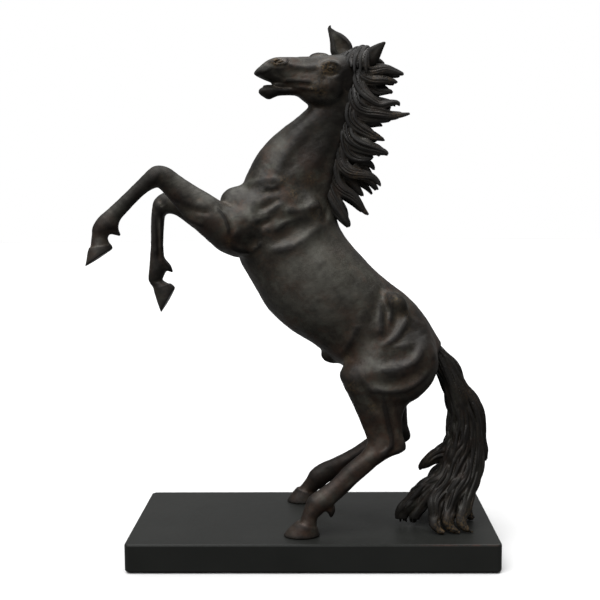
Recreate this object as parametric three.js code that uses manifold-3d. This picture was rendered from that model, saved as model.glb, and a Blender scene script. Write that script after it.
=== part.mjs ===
// A rearing bronze horse on a black rectangular plinth, in millimetres, +Z up.
//
// The horse faces -X and rears over the plinth on its hind hooves and the ends of its tail. It is
// cast in sections: trunk, neck, head, four legs, mane and tail. Sections meet at flat seams with a
// small gap. Each solid limb is located by a steel dowel, and the hollow neck by a spigot ring that
// enters the hollow trunk. Threaded studs in the hind hooves and the tail pass through the plinth to
// a washer and a nut in a counterbore. A felt sheet covers the underside.
//
// The origin is the centre of the felt's underside. The horse's left side faces -Y.
import * as THREE from "three";
import { mergeVertices } from "three/addons/utils/BufferGeometryUtils.js";
import Module from "manifold-3d";

const wasm = await Module();
wasm.setup();

// Plinth and felt
const PLINTH_LENGTH = 350;
const PLINTH_DEPTH = 165;
const PLINTH_TOP = 28;
const FELT_THICKNESS = 1.5;
const FELT_INSET = 3;
const EDGE_ROUND = 1.6;
const CORNER_ROUND = 4;

// Fits and joints
const GAP = 0.3; // clearance wherever two pieces touch
const SOLE_Z = PLINTH_TOP + GAP; // what stands on the plinth starts here
const DOWEL_RADIUS = 3;
const DOWEL_LENGTH = 24;
const STUD_RADIUS = 3;
const STUD_GRIP = 13; // how far a stud runs up into its hoof or lock
const STUD_FOOT_Z = 3.5;
const COUNTERBORE_RADIUS = 9;
const COUNTERBORE_DEPTH = 9;
const WASHER = { outer: 7, inner: 3.4, thick: 1.4 };
const NUT = { acrossFlats: 10, bore: 3.3, thick: 5 };

// Hollow castings
const TRUNK_WALL = 6;
const NECK_WALL = 9;
const SPIGOT_LENGTH = 8;

// The head turns towards the left about a vertical line through the poll.
const POLL_X = 40;
const HEAD_TURN = THREE.MathUtils.degToRad(15);

// ---------------------------------------------------------------- section tables
// A row is one oval section: [front x, front z, back x, back z, half width, centre y]. Front and
// back are the ends of the section's long axis, which lie on the outline seen from the side. For
// the trunk, neck and head, front is the topline and back is the underline.

const TRUNK_ROWS = [
  [127, 203, 116, 181, 13, 0], // dock
  [121, 213, 100, 168, 28, 0],
  [112, 228, 74, 164, 39, 0],
  [101, 242, 50, 171, 43, 0], // croup
  [90, 252.5, 33, 180, 43, 0],
  [80, 260, 21, 188, 42, 0],
  [70, 268, 11, 196, 42, 0], // loin and flank
  [60, 277, 0, 204.5, 43, 0],
  [50, 288, -11, 211, 44, 0],
  [40, 299, -24, 220, 45, 0], // barrel
  [31, 311, -36, 231, 45, 0],
  [26, 322, -44, 240, 44, 0],
  [25, 331, -52, 254, 43, 0],
  [24, 339, -61, 270, 42, 0], // withers and girth
  [24, 346, -69, 285, 41, 0],
  [25, 352, -74, 305, 40, 0],
  [26, 358, -76, 325, 38, 0], // breast
  [28, 365, -72, 345, 35, 0],
  [30, 373, -65, 361, 32, 0], // base of the neck
  [32, 383, -59, 374, 29, 0],
  [35, 394, -51, 388, 26, 0],
  [38, 406, -40, 401, 23.5, 0],
  [41, 419, -27, 412, 21.5, 0],
  [45, 433, -14, 421.5, 20, 0],
  [49, 447, -5, 429, 19, 0], // throat
  [51, 460, 2, 436, 18, 0],
  [49, 471, 10, 446, 15, 0], // poll
];

const SKULL_ROWS = [
  [54, 467, 34, 446, 11, 0],
  [47, 476.5, 22, 433, 15, 0],
  [38, 481, 12, 429, 17.5, 0],
  [27, 481.3, 4, 431, 19, 0], // cheek
  [16, 480.5, -3, 435, 19, 0], // eye
  [5, 479.5, -9, 439.5, 16.5, 0],
  [-6, 478.6, -15, 443, 14, 0],
  [-15, 478, -21, 447, 12.5, 0],
  [-24, 477.8, -27, 451, 11.5, 0],
  [-33, 477, -34, 453.3, 11.5, 0], // nostril
  [-40.5, 473.6, -41.5, 456.2, 11.5, 0],
  [-47, 468.4, -48, 459.2, 9.5, 0],
  [-51, 464.8, -51.8, 461.4, 6, 0], // upper lip
];

const JAW_ROWS = [
  [4, 455, 0, 440, 11, 0],
  [-10, 452, -12, 441.8, 9.5, 0],
  [-20, 450.4, -20, 442.4, 8, 0],
  [-30, 450, -30, 441.6, 7.5, 0],
  [-38, 451, -38, 438.4, 8, 0], // chin
  [-43.5, 449.4, -43.5, 440.6, 7.5, 0],
  [-47.5, 447.6, -47.5, 443.6, 4.5, 0],
];

const LEFT_FORELEG_ROWS = [
  [-40, 340, -44, 301, 15, -20],
  [-58, 340, -65, 292, 21.5, -27],
  [-76, 343, -86, 298.5, 19.8, -32],
  [-90, 348.5, -104, 314.5, 16.5, -35],
  [-101, 354.5, -117, 327.4, 13.2, -36],
  [-112, 361, -126, 338.5, 11, -37],
  [-122, 368, -134, 348.5, 10, -38],
  [-131, 374.5, -141, 356, 10, -39], // knee
  [-139, 377, -145, 355.8, 10.5, -40],
  [-147, 375.5, -149, 354, 10, -40],
  [-155, 368.5, -153, 351.5, 8.5, -40],
  [-166, 358, -160, 345.5, 7.5, -40],
  [-180, 345, -170, 335.5, 7, -40], // cannon
  [-191, 335.5, -178, 326.5, 7.5, -40],
  [-199, 328.5, -181, 318.5, 9, -40], // fetlock
  [-204, 320, -187, 314.5, 8.5, -40],
  [-205, 312.5, -190, 310.5, 7.5, -40],
  [-207, 305, -188, 306, 8.5, -40],
  [-209.5, 299, -186, 303, 10.5, -40], // coronet
  [-212.5, 282.5, -185.5, 300, 12.5, -40], // sole
];

const RIGHT_FORELEG_ROWS = [
  [-40, 340, -44, 296, 16, 20],
  [-60, 343, -68, 286, 22, 27],
  [-78, 340, -90, 292, 19.5, 31],
  [-94, 341, -108, 307, 16, 33],
  [-110, 344, -123, 319.5, 13, 34],
  [-124, 348.5, -134, 327.5, 11, 35],
  [-137, 351.5, -141, 330.5, 10.5, 36], // knee
  [-149, 351.5, -146, 330, 10.5, 36],
  [-158, 344.5, -148, 327, 10, 36],
  [-160.5, 336, -148.5, 322, 8.5, 36],
  [-162, 322, -149.5, 312, 7.5, 36],
  [-162.5, 303, -150, 300, 7, 36], // cannon
  [-163.5, 290, -149.5, 289, 7.5, 36],
  [-165, 275, -147, 277, 9, 36], // fetlock
  [-166, 265, -150, 268, 8.5, 36],
  [-164.5, 260.5, -151.5, 264, 7.5, 36],
  [-162, 257, -148, 261, 8.5, 36],
  [-161, 253.5, -142, 259, 10.5, 36], // coronet
  [-153.5, 230, -139.5, 256, 12.5, 36], // sole
];

const LEFT_HIND_ROWS = [
  [72, 238, 108, 222, 10, -18],
  [52, 214, 118, 203, 21, -24],
  [36, 194, 120, 186, 26, -28],
  [27, 179, 113, 170, 26, -31], // stifle
  [30, 168, 102, 158, 22, -33],
  [36, 156, 92, 151, 17.5, -35],
  [42, 143, 87, 141, 14, -37],
  [47, 131, 86, 130, 12, -38],
  [51, 121, 87, 118.5, 11, -39],
  [52.5, 114, 89, 110, 10.5, -40], // hock
  [50, 108, 86.5, 105, 10.5, -41],
  [46.5, 103.5, 74, 99.6, 10, -42],
  [40.5, 99, 60, 91, 9, -43.5],
  [31.5, 92, 46.5, 79.5, 8, -46], // cannon
  [19.5, 80.3, 34, 68, 8, -49],
  [8, 72, 26, 61.5, 8.5, -52],
  [-3, 64.5, 21, 57, 9, -54], // fetlock
  [-7, 56, 13, 51, 8.5, -55],
  [-10, 48, 6, 44.5, 8, -56],
  [-12, 43, 5, 38.5, 9, -57],
  [-17, 40.5, 6, 36, 10.5, -57], // coronet
  [-28, SOLE_Z, 7, SOLE_Z, 13, -57], // sole
];

const RIGHT_HIND_ROWS = [
  [76, 240, 110, 224, 10, 18],
  [56, 216, 120, 204, 21, 24],
  [40, 196, 122, 187, 26, 28],
  [32, 181, 117, 170, 26, 31], // stifle
  [38, 168, 108, 157, 22, 33],
  [46, 155, 100, 149, 17.5, 35],
  [53, 141, 97, 138, 14, 36],
  [58, 128, 97, 126, 12, 37],
  [62, 116, 98, 112, 11, 38],
  [64, 108, 101, 101, 10.5, 39], // hock
  [62, 101, 97, 94.5, 10.5, 39.5],
  [57, 97.5, 84, 89, 10, 40],
  [48, 91, 67.5, 77.5, 9, 41],
  [36, 83.5, 51.5, 68, 8, 43], // cannon
  [22, 76, 35.5, 59.5, 8, 45],
  [8, 69, 22, 52.5, 8.5, 47],
  [-2, 61.5, 14, 47, 9, 48], // fetlock
  [-7, 53, 8, 44, 8.5, 49],
  [-11, 47, 4, 39, 8, 49.5],
  [-15, 43.5, 3, 36, 9, 50],
  [-19, 40, 4, 34.5, 10.5, 50], // coronet
  [-28, SOLE_Z, 5, SOLE_Z, 13, 50], // sole
];

const TAIL_ROWS = [
  [113, 189, 122, 211, 10, 0],
  [119, 176, 132, 195, 12, 0], // dock
  [127, 161, 147, 175, 14, 0],
  [131, 147, 160, 156, 17, -1],
  [132, 130, 170, 136, 19, -2],
  [131, 112, 171, 116, 20, -4],
  [127, 98, 169, 98, 21, -6],
  [123, 82, 166, 80, 21, -9],
  [120, 65, 162, 62, 22, -12],
  [121, 48, 158, 46, 22, -15],
  [123, SOLE_Z, 155, SOLE_Z, 18, -17],
];

// ---------------------------------------------------------------- locks of hair
// A lock is a tapering tuft along a list of points: [x, y, z, radius].

const TAIL_LOCKS = [
  [[131, -3, 165, 7], [137, -6, 138, 9], [138, -9, 113, 10], [126, -12, 97, 9],
    [113, -14, 89, 6.5], [106, -15, 81, 3], [105, -15, 78, 0.8]],
  [[138, 2, 178, 7], [156, 1, 153, 8], [166, 0, 130, 7.5], [168, -2, 108, 6],
    [170, -4, 94, 4], [171, -5, 84, 1]],
  [[136, -6, 118, 8], [128, -12, 92, 10], [114, -18, 70, 11], [99, -22, 55, 11],
    [88, -25, 42, 9], [84, -26, 30.5, 3]],
  [[148, -8, 112, 9], [138, -18, 84, 10], [126, -28, 62, 10], [118, -38, 46, 8],
    [119, -46, 34, 5], [122, -49, 30, 2]],
  [[158, -6, 112, 8], [155, -18, 86, 9], [148, -30, 62, 10], [142, -40, 44, 8],
    [145, -46, 34, 5], [149, -49, 30, 2]],
  [[152, 6, 116, 8], [150, 12, 86, 10], [140, 18, 62, 10], [128, 24, 44, 9],
    [121, 28, 31, 4]],
  [[162, 4, 104, 6], [161, 6, 78, 8], [156, 10, 56, 9], [151, 14, 40, 7],
    [150, 16, 31, 3]],
];

const MANE_CREST = [[52, 0, 478, 8], [55, -1, 462, 9], [52, -2, 444, 9], [48, -3, 426, 9],
  [43, -3, 408, 9], [38, -3, 390, 9], [34, -3, 373, 9], [31, -4, 358, 8], [29, -5, 345, 7],
  [29, -5, 332, 6]];

const MANE_LOCKS = [
  [[50, 0, 477, 7], [60, -2, 476, 5], [71, -3, 471, 1]],
  [[52, -3, 468, 8], [66, -5, 467, 7], [79, -6, 463, 4.5], [90, -7, 461, 1]],
  [[54, -6, 460, 7], [68, -9, 457, 5], [83, -10, 454, 1]],
  [[51, -7, 452, 8], [58, -11, 440, 7], [69, -12, 434.5, 4.5], [77, -13, 433.5, 3.5],
    [84, -13, 434.5, 1]],
  [[46, -6, 440, 8], [54, -10, 428, 8], [67, -11, 424, 6], [81, -10, 424, 3.5],
    [95, -9, 424, 0.8]],
  [[44, -2, 430, 7], [58, -2, 420, 4.5], [76, -2, 418, 1.2]],
  [[40, -6, 424, 8], [48, -10, 410, 8], [59, -11, 404, 5], [71, -10, 400, 0.8]],
  [[36, -4, 404, 8], [46, -7, 392, 9], [60, -8, 391, 6.5], [70, -8, 389, 4], [74, -8, 386, 1.2]],
  [[33, -5, 390, 8], [40, -9, 374, 8], [52, -10, 368, 5.5], [61, -9, 364, 3], [67, -9, 361, 0.8]],
  [[50, -8, 369, 4], [60, -7, 361, 3.5], [65, -6, 352, 1.2]],
  [[30, -4, 372, 8], [36, -8, 354, 8], [44, -9, 343, 6], [50, -8, 335, 3.5], [56, -7, 328, 0.8]],
  [[27, -7, 362, 7], [27, -12, 346, 7], [30, -12, 332, 7], [34, -11, 321, 5.5],
    [35, -11, 317, 2]],
];

const FORELOCK = [[50, 0, 480, 6], [44, -2, 484, 6], [35, -3, 482, 5], [27, -3, 481, 1.5]];

const EARS = [
  [[42, 9, 472, 6.5], [34, 12, 486, 8], [28, 13.5, 496, 6], [20.5, 14, 511.5, 0.8]],
  [[46, -7, 464, 6.5], [55, -11, 475, 7], [62, -14, 482.5, 5], [71.5, -15, 490.8, 0.8]],
];

const TUFTS = {
  left_foreleg: [[-190, -40, 321, 6], [-183, -40, 316, 4.5], [-178.5, -40, 312.5, 0.8]],
  right_foreleg: [[-154, 36, 281, 6], [-147, 36, 276, 4.5], [-141.5, 36, 271.5, 0.8]],
  left_hind_leg: [[14, -54, 58, 6], [17, -54, 51, 4.5], [17, -54, 44.5, 0.8]],
  right_hind_leg: [[5.5, 49, 48.5, 6], [9, 49, 44.5, 4.5], [10, 49, 39, 0.8]],
};

// ---------------------------------------------------------------- solids

// A closed three.js geometry as a solid that can be joined and cut.
function solidOf(geometry) {
  const bare = geometry.clone();
  bare.deleteAttribute("normal");
  bare.deleteAttribute("uv");
  const merged = mergeVertices(bare, 1e-4);
  return new wasm.Manifold(
    new wasm.Mesh({
      numProp: 3,
      vertProperties: new Float32Array(merged.attributes.position.array),
      triVerts: new Uint32Array(merged.index.array),
    }),
  );
}

// A solid back as a three.js geometry. Slivers that a cut leaves are merged away.
function geometryOf(solid) {
  const mesh = solid.simplify(0.04).getMesh();
  const geometry = new THREE.BufferGeometry();
  geometry.setAttribute("position", new THREE.BufferAttribute(mesh.vertProperties, 3));
  geometry.setIndex(new THREE.BufferAttribute(mesh.triVerts, 1));
  geometry.computeVertexNormals();
  return geometry;
}

function union(solids) {
  return solids.reduce((all, one) => all.add(one));
}

// Closes a stack of rings, each a list of Vector3, into one body with flat ends.
function closeRings(rings) {
  const around = rings[0].length;
  const points = rings.flat();
  const index = [];
  for (let ring = 0; ring < rings.length - 1; ring++) {
    for (let k = 0; k < around; k++) {
      const next = (k + 1) % around;
      const a = ring * around + k;
      const b = ring * around + next;
      index.push(a, b, a + around, b, b + around, a + around);
    }
  }
  const last = (rings.length - 1) * around;
  for (const [start, flip] of [[0, true], [last, false]]) {
    const middle = new THREE.Vector3();
    rings[start / around].forEach((p) => middle.addScaledVector(p, 1 / around));
    points.push(middle);
    const hub = points.length - 1;
    for (let k = 0; k < around; k++) {
      const a = start + k;
      const b = start + ((k + 1) % around);
      index.push(hub, ...(flip ? [b, a] : [a, b]));
    }
  }
  return new THREE.BufferGeometry().setFromPoints(points).setIndex(index);
}

// Skins a body over the sections of a table. grow moves the surface out, or in if it is negative.
function skin(rows, { around = 16, between = 1, grow = 0 } = {}) {
  const front = new THREE.CatmullRomCurve3(rows.map((r) => new THREE.Vector3(r[0], r[4], r[1])));
  const back = new THREE.CatmullRomCurve3(rows.map((r) => new THREE.Vector3(r[2], r[5], r[3])));
  const steps = (rows.length - 1) * between;
  const rings = [];
  for (let i = 0; i <= steps; i++) {
    const f = front.getPoint(i / steps);
    const b = back.getPoint(i / steps);
    const centre = new THREE.Vector3((f.x + b.x) / 2, b.y, (f.z + b.z) / 2);
    const long = new THREE.Vector3((f.x - b.x) / 2, 0, (f.z - b.z) / 2);
    long.setLength(Math.max(long.length() + grow, 0.5));
    const half = Math.max(f.y + grow, 0.5);
    const ring = [];
    for (let k = 0; k < around; k++) {
      const turn = (2 * Math.PI * k) / around;
      const point = centre.clone().addScaledVector(long, Math.cos(turn));
      point.y += half * Math.sin(turn);
      ring.push(point);
    }
    rings.push(ring);
  }
  return closeRings(rings);
}

// A tapering tuft along points [x, y, z, radius].
function lock(points, { around = 7, between = 2, grow = 0 } = {}) {
  const path = new THREE.CatmullRomCurve3(points.map((p) => new THREE.Vector3(p[0], p[1], p[2])));
  const size = new THREE.CatmullRomCurve3(points.map((p, i) => new THREE.Vector3(i, p[3], 0)));
  const steps = (points.length - 1) * between;
  const side = new THREE.Vector3(0, 1, 0);
  const rings = [];
  for (let i = 0; i <= steps; i++) {
    const centre = path.getPoint(i / steps);
    const along = path.getTangent(i / steps);
    const across = new THREE.Vector3().crossVectors(side, along).normalize();
    const up = new THREE.Vector3().crossVectors(along, across);
    const radius = Math.max(size.getPoint(i / steps).y + grow, 0.5);
    const ring = [];
    for (let k = 0; k < around; k++) {
      const turn = (2 * Math.PI * k) / around;
      const point = centre.clone().addScaledVector(across, radius * Math.cos(turn));
      ring.push(point.addScaledVector(up, radius * Math.sin(turn)));
    }
    rings.push(ring);
  }
  return closeRings(rings);
}

// The block of space beyond a seam. The seam is flat, square to the XZ plane, and faces along
// heading, in degrees from +X towards +Z.
function beyond({ at, heading }, shift = 0) {
  const reach = 600;
  const block = new THREE.BoxGeometry(reach, reach, reach);
  block.translate(reach / 2 + shift, 0, 0);
  block.rotateY(-THREE.MathUtils.degToRad(heading));
  block.translate(at[0], 0, at[1]);
  return solidOf(block);
}

// A round rod from a point along a direction.
function rod({ at, along, length, radius }, around = 12) {
  const geometry = new THREE.CylinderGeometry(radius, radius, length, around);
  const direction = new THREE.Vector3(...along).normalize();
  geometry.translate(0, length / 2, 0);
  geometry.applyQuaternion(
    new THREE.Quaternion().setFromUnitVectors(new THREE.Vector3(0, 1, 0), direction),
  );
  geometry.translate(...at);
  return geometry;
}

function ring({ outer, inner, thick }, around) {
  const shape = new THREE.Shape().absarc(0, 0, outer, 0, 2 * Math.PI);
  shape.holes.push(new THREE.Path().absarc(0, 0, inner, 0, 2 * Math.PI, true));
  return new THREE.ExtrudeGeometry(shape, {
    depth: thick,
    bevelEnabled: false,
    curveSegments: around,
  });
}

function hexNut({ acrossFlats, bore, thick }) {
  const corner = acrossFlats / Math.sqrt(3);
  const corners = [...Array(6).keys()].map((k) => (k * Math.PI) / 3);
  const shape = new THREE.Shape(
    corners.map((a) => new THREE.Vector2(corner * Math.cos(a), corner * Math.sin(a))),
  );
  shape.holes.push(new THREE.Path().absarc(0, 0, bore, 0, 2 * Math.PI, true));
  return new THREE.ExtrudeGeometry(shape, { depth: thick, bevelEnabled: false, curveSegments: 12 });
}

// A rectangle with round corners.
function roundedRectangle(length, depth, radius) {
  const [x, y] = [length / 2 - radius, depth / 2 - radius];
  return new THREE.Shape()
    .absarc(x, y, radius, 0, Math.PI / 2)
    .absarc(-x, y, radius, Math.PI / 2, Math.PI)
    .absarc(-x, -y, radius, Math.PI, 1.5 * Math.PI)
    .absarc(x, -y, radius, 1.5 * Math.PI, 2 * Math.PI);
}

// ---------------------------------------------------------------- seams and fixings

const SEAMS = {
  head: { at: [21, 438], heading: 111 },
  neck: { at: [-18, 366], heading: 96 },
  left_foreleg: { at: [-93, 334], heading: 155 },
  right_foreleg: { at: [-98, 325], heading: 160 },
  left_hind_leg: { at: [66, 156], heading: 250 },
  right_hind_leg: { at: [74, 156], heading: 250 },
  tail: { at: [121.5, 192], heading: -27 },
};

// Dowels that cross the seams of the solid castings, from a point on the seam.
const DOWELS = {
  head: [21, 0, 438],
  left_foreleg: [-96.5, -34.5, 332],
  right_foreleg: [-101, 33, 324.5],
  left_hind_leg: [66, -35, 156],
  right_hind_leg: [75, 34.5, 156],
  tail: [121.5, 0, 192],
};

// Studs through the plinth: the place of each on the plinth's top.
const STUDS = {
  left_hoof: [-10, -57],
  right_hoof: [-11, 50],
  tail: [139, -17],
};

function dowelRod(name, clearance = 0) {
  const heading = THREE.MathUtils.degToRad(SEAMS[name].heading);
  const along = [Math.cos(heading), 0, Math.sin(heading)];
  const half = DOWEL_LENGTH / 2 + clearance;
  const at = DOWELS[name].map((value, axis) => value - along[axis] * half);
  return rod({ at, along, length: 2 * half, radius: DOWEL_RADIUS + clearance });
}

function studRod(name, clearance = 0) {
  const [x, y] = STUDS[name];
  const foot = STUD_FOOT_Z - clearance;
  const length = PLINTH_TOP + STUD_GRIP - STUD_FOOT_Z + 2 * clearance;
  return rod({ at: [x, y, foot], along: [0, 0, 1], length, radius: STUD_RADIUS + clearance });
}

const dowelHoles = (name) => solidOf(dowelRod(name, GAP));
const studHoles = (name) => solidOf(studRod(name, GAP));

// ---------------------------------------------------------------- castings

const LIMBS = {
  left_foreleg: { rows: LEFT_FORELEG_ROWS, stud: null },
  right_foreleg: { rows: RIGHT_FORELEG_ROWS, stud: null },
  left_hind_leg: { rows: LEFT_HIND_ROWS, stud: "left_hoof" },
  right_hind_leg: { rows: RIGHT_HIND_ROWS, stud: "right_hoof" },
};

function limbBody(name) {
  return solidOf(skin(LIMBS[name].rows, { around: 14 })).add(solidOf(lock(TUFTS[name])));
}

function limbCasting(name) {
  let limb = limbBody(name).intersect(beyond(SEAMS[name])).subtract(dowelHoles(name));
  if (LIMBS[name].stud) limb = limb.subtract(studHoles(LIMBS[name].stud));
  return limb;
}

const trunkBody = () => solidOf(skin(TRUNK_ROWS, { around: 22 }));
const hollow = (wall) => solidOf(skin(TRUNK_ROWS.slice(3, -4), { around: 14, grow: -wall }));

function trunkCasting() {
  const stubs = Object.keys(LIMBS).map((name) =>
    limbBody(name).subtract(beyond(SEAMS[name], -GAP)).subtract(dowelHoles(name)),
  );
  return union([trunkBody().subtract(beyond(SEAMS.neck, -GAP)), ...stubs])
    .subtract(hollow(TRUNK_WALL))
    .subtract(dowelHoles("tail"));
}

function neckCasting() {
  const tube = trunkBody().intersect(beyond(SEAMS.neck)).subtract(beyond(SEAMS.head, -GAP));
  const spigot = solidOf(skin(TRUNK_ROWS.slice(3, -4), { around: 14, grow: -TRUNK_WALL - GAP }))
    .intersect(beyond(SEAMS.neck, -SPIGOT_LENGTH))
    .subtract(beyond(SEAMS.neck, 2));
  return tube.add(spigot).subtract(hollow(NECK_WALL)).subtract(dowelHoles("head"));
}

// Turns a head piece about the poll, as the head turns.
function turned(geometry) {
  return geometry.translate(-POLL_X, 0, 0).rotateZ(HEAD_TURN).translate(POLL_X, 0, 0);
}

// The head's tables are drawn as seen from the side, so their lengths are stretched by the turn.
function stretched(rows) {
  const stretch = (x) => POLL_X + (x - POLL_X) / Math.cos(HEAD_TURN);
  return rows.map(([fx, fz, bx, bz, half, y]) => [stretch(fx), fz, stretch(bx), bz, half, y]);
}

function headBody(grow = 0) {
  return union([
    solidOf(turned(skin(stretched(SKULL_ROWS), { around: 18, grow }))),
    solidOf(turned(skin(stretched(JAW_ROWS), { around: 12, grow }))),
    ...EARS.map((points) => solidOf(lock(points, { grow }))),
    solidOf(skin(TRUNK_ROWS, { around: 22, grow })).intersect(beyond(SEAMS.head)),
  ]);
}

// The cheeks overhang the top of the neck, so the neck's own space is cut from the head.
function headCasting() {
  const neckSpace = solidOf(skin(TRUNK_ROWS, { around: 22, grow: GAP }));
  return headBody().subtract(neckSpace.subtract(beyond(SEAMS.head))).subtract(dowelHoles("head"));
}

function maneCasting() {
  const hair = [MANE_CREST, FORELOCK, ...MANE_LOCKS].map((points) =>
    solidOf(lock(points, { around: 6 })),
  );
  return union(hair)
    .subtract(solidOf(skin(TRUNK_ROWS, { around: 22, grow: GAP })))
    .subtract(headBody(GAP));
}

function tailCasting() {
  const hair = TAIL_LOCKS.map((points) => solidOf(lock(points, { around: 8 })));
  const plinthSpace = new THREE.BoxGeometry(2 * PLINTH_LENGTH, 2 * PLINTH_DEPTH, SOLE_Z);
  return union([solidOf(skin(TAIL_ROWS)), ...hair])
    .intersect(beyond(SEAMS.tail, GAP))
    .subtract(solidOf(plinthSpace.translate(0, 0, SOLE_Z / 2)))
    .subtract(dowelHoles("tail"))
    .subtract(studHoles("tail"));
}

// ---------------------------------------------------------------- plinth

function plinthBody() {
  const height = PLINTH_TOP - FELT_THICKNESS;
  const inner = roundedRectangle(
    PLINTH_LENGTH - 2 * EDGE_ROUND,
    PLINTH_DEPTH - 2 * EDGE_ROUND,
    CORNER_ROUND,
  );
  const slab = new THREE.ExtrudeGeometry(inner, {
    depth: height - 2 * EDGE_ROUND,
    bevelSize: EDGE_ROUND,
    bevelThickness: EDGE_ROUND,
    bevelSegments: 2,
    curveSegments: 4,
  });
  slab.translate(0, 0, FELT_THICKNESS + EDGE_ROUND);
  let body = solidOf(slab);
  for (const [name, [x, y]] of Object.entries(STUDS)) {
    const bore = {
      at: [x, y, 0],
      along: [0, 0, 1],
      length: FELT_THICKNESS + COUNTERBORE_DEPTH,
      radius: COUNTERBORE_RADIUS,
    };
    body = body.subtract(studHoles(name)).subtract(solidOf(rod(bore, 20)));
  }
  return body;
}

function feltSheet() {
  const outline = roundedRectangle(
    PLINTH_LENGTH - 2 * FELT_INSET,
    PLINTH_DEPTH - 2 * FELT_INSET,
    CORNER_ROUND,
  );
  const depth = FELT_THICKNESS - GAP / 10;
  return new THREE.ExtrudeGeometry(outline, { depth, bevelEnabled: false, curveSegments: 3 });
}

// ---------------------------------------------------------------- assembly

const bronze = new THREE.MeshStandardMaterial({ color: 0x2b2521, roughness: 0.42, metalness: 0.8 });
const paintedWood = new THREE.MeshStandardMaterial({ color: 0x171918, roughness: 0.55 });
const steel = new THREE.MeshStandardMaterial({ color: 0xa9adb0, roughness: 0.35, metalness: 1 });
const felt = new THREE.MeshStandardMaterial({ color: 0x101010, roughness: 1 });

const statue = new THREE.Group();

function place(name, geometry, material, position = [0, 0, 0]) {
  const mesh = new THREE.Mesh(geometry, material);
  mesh.name = name;
  mesh.position.set(...position);
  statue.add(mesh);
}

place("plinth", geometryOf(plinthBody()), paintedWood);
place("felt_sheet", feltSheet(), felt);

place("trunk", geometryOf(trunkCasting()), bronze);
place("neck", geometryOf(neckCasting()), bronze);
place("head", geometryOf(headCasting()), bronze);
place("mane", geometryOf(maneCasting()), bronze);
place("tail", geometryOf(tailCasting()), bronze);
for (const name of Object.keys(LIMBS)) {
  place(name, geometryOf(limbCasting(name)), bronze);
}

for (const name of Object.keys(DOWELS)) {
  place(`${name}_dowel`, dowelRod(name), steel);
}

const washerTop = FELT_THICKNESS + COUNTERBORE_DEPTH - GAP;
for (const [name, [x, y]] of Object.entries(STUDS)) {
  const washerZ = washerTop - WASHER.thick;
  place(`${name}_stud`, studRod(name), steel);
  place(`${name}_washer`, ring(WASHER, 12), steel, [x, y, washerZ]);
  place(`${name}_nut`, hexNut(NUT), steel, [x, y, washerZ - GAP - NUT.thick]);
}

export default statue;
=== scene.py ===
"""A rearing bronze horse on a black plinth: its sculpted surfaces, finish, light and camera.

Shapes are worked out in millimetres and turned into metres when a mesh is made. Each casting is
modelled as a distance field: bodies lofted over oval sections, melted together, meshed, and then
worked with raised and sunk lines like a modelling tool's. Each casting is cut at the flat seams
that the CAD castings have.
"""

import math

import bmesh
import bpy
import numpy as np
import openvdb
from mathutils import Matrix, Vector


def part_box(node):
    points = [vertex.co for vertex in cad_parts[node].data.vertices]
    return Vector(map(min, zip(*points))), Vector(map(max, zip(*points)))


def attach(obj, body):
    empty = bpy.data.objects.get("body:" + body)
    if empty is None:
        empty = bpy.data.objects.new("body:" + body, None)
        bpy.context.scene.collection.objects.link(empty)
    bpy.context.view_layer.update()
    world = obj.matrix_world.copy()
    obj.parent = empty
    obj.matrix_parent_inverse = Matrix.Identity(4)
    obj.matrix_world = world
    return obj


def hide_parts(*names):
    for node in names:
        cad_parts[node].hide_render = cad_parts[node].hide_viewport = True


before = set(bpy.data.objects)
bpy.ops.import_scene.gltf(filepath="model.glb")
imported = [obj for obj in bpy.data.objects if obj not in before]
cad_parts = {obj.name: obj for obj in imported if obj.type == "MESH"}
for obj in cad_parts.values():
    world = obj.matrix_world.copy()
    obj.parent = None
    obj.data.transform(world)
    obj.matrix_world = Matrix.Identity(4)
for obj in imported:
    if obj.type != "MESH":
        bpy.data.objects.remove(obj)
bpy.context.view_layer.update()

MM = 0.001
SEED = 7

# ------------------------------------------------------------------ section tables, millimetres
# A row is one oval section: front x, front z, back x, back z, half width, centre y, taper.
# Front and back are the ends of its long axis on the outline seen from the side. Taper narrows
# the front half and widens the back half. A row may leave off a centre y and a taper of 0.

TRUNK = [
    (127, 203, 116, 181, 13), (121, 213, 100, 168, 26),
    (112, 228, 74, 164, 38, 0, -0.05), (101, 242, 50, 171, 43, 0, -0.1),
    (90, 252.5, 33, 180, 43, 0, -0.1), (80, 260, 21, 188, 41, 0, -0.08),
    (70, 268, 11, 196, 40), (60, 277, 0, 204.5, 42, 0, 0.05),
    (50, 288, -11, 211, 44, 0, 0.05), (40, 299, -24, 220, 45, 0, 0.05),
    (31, 311, -36, 231, 45, 0, 0.02), (26, 322, -44, 240, 44, 0, -0.05),
    (25, 331, -52, 254, 43, 0, -0.12), (24, 339, -61, 270, 42, 0, -0.18),
    (24, 346, -69, 285, 41, 0, -0.22), (25, 352, -74, 305, 40, 0, -0.25),
    (26, 358, -76, 325, 38, 0, -0.25), (28, 365, -72, 345, 35, 0, -0.22),
    (30, 373, -65, 361, 32, 0, -0.2), (32, 383, -59, 374, 29, 0, -0.18),
    (35, 394, -51, 388, 26, 0, -0.16), (38, 406, -40, 401, 23.5, 0, -0.14),
    (41, 419, -27, 412, 21.5, 0, -0.12), (45, 433, -14, 421.5, 19.5, 0, -0.1),
    (49, 447, -5, 429, 18, 0, -0.05), (51, 460, 2, 436, 16.5), (49, 471, 10, 446, 13),
]

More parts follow.
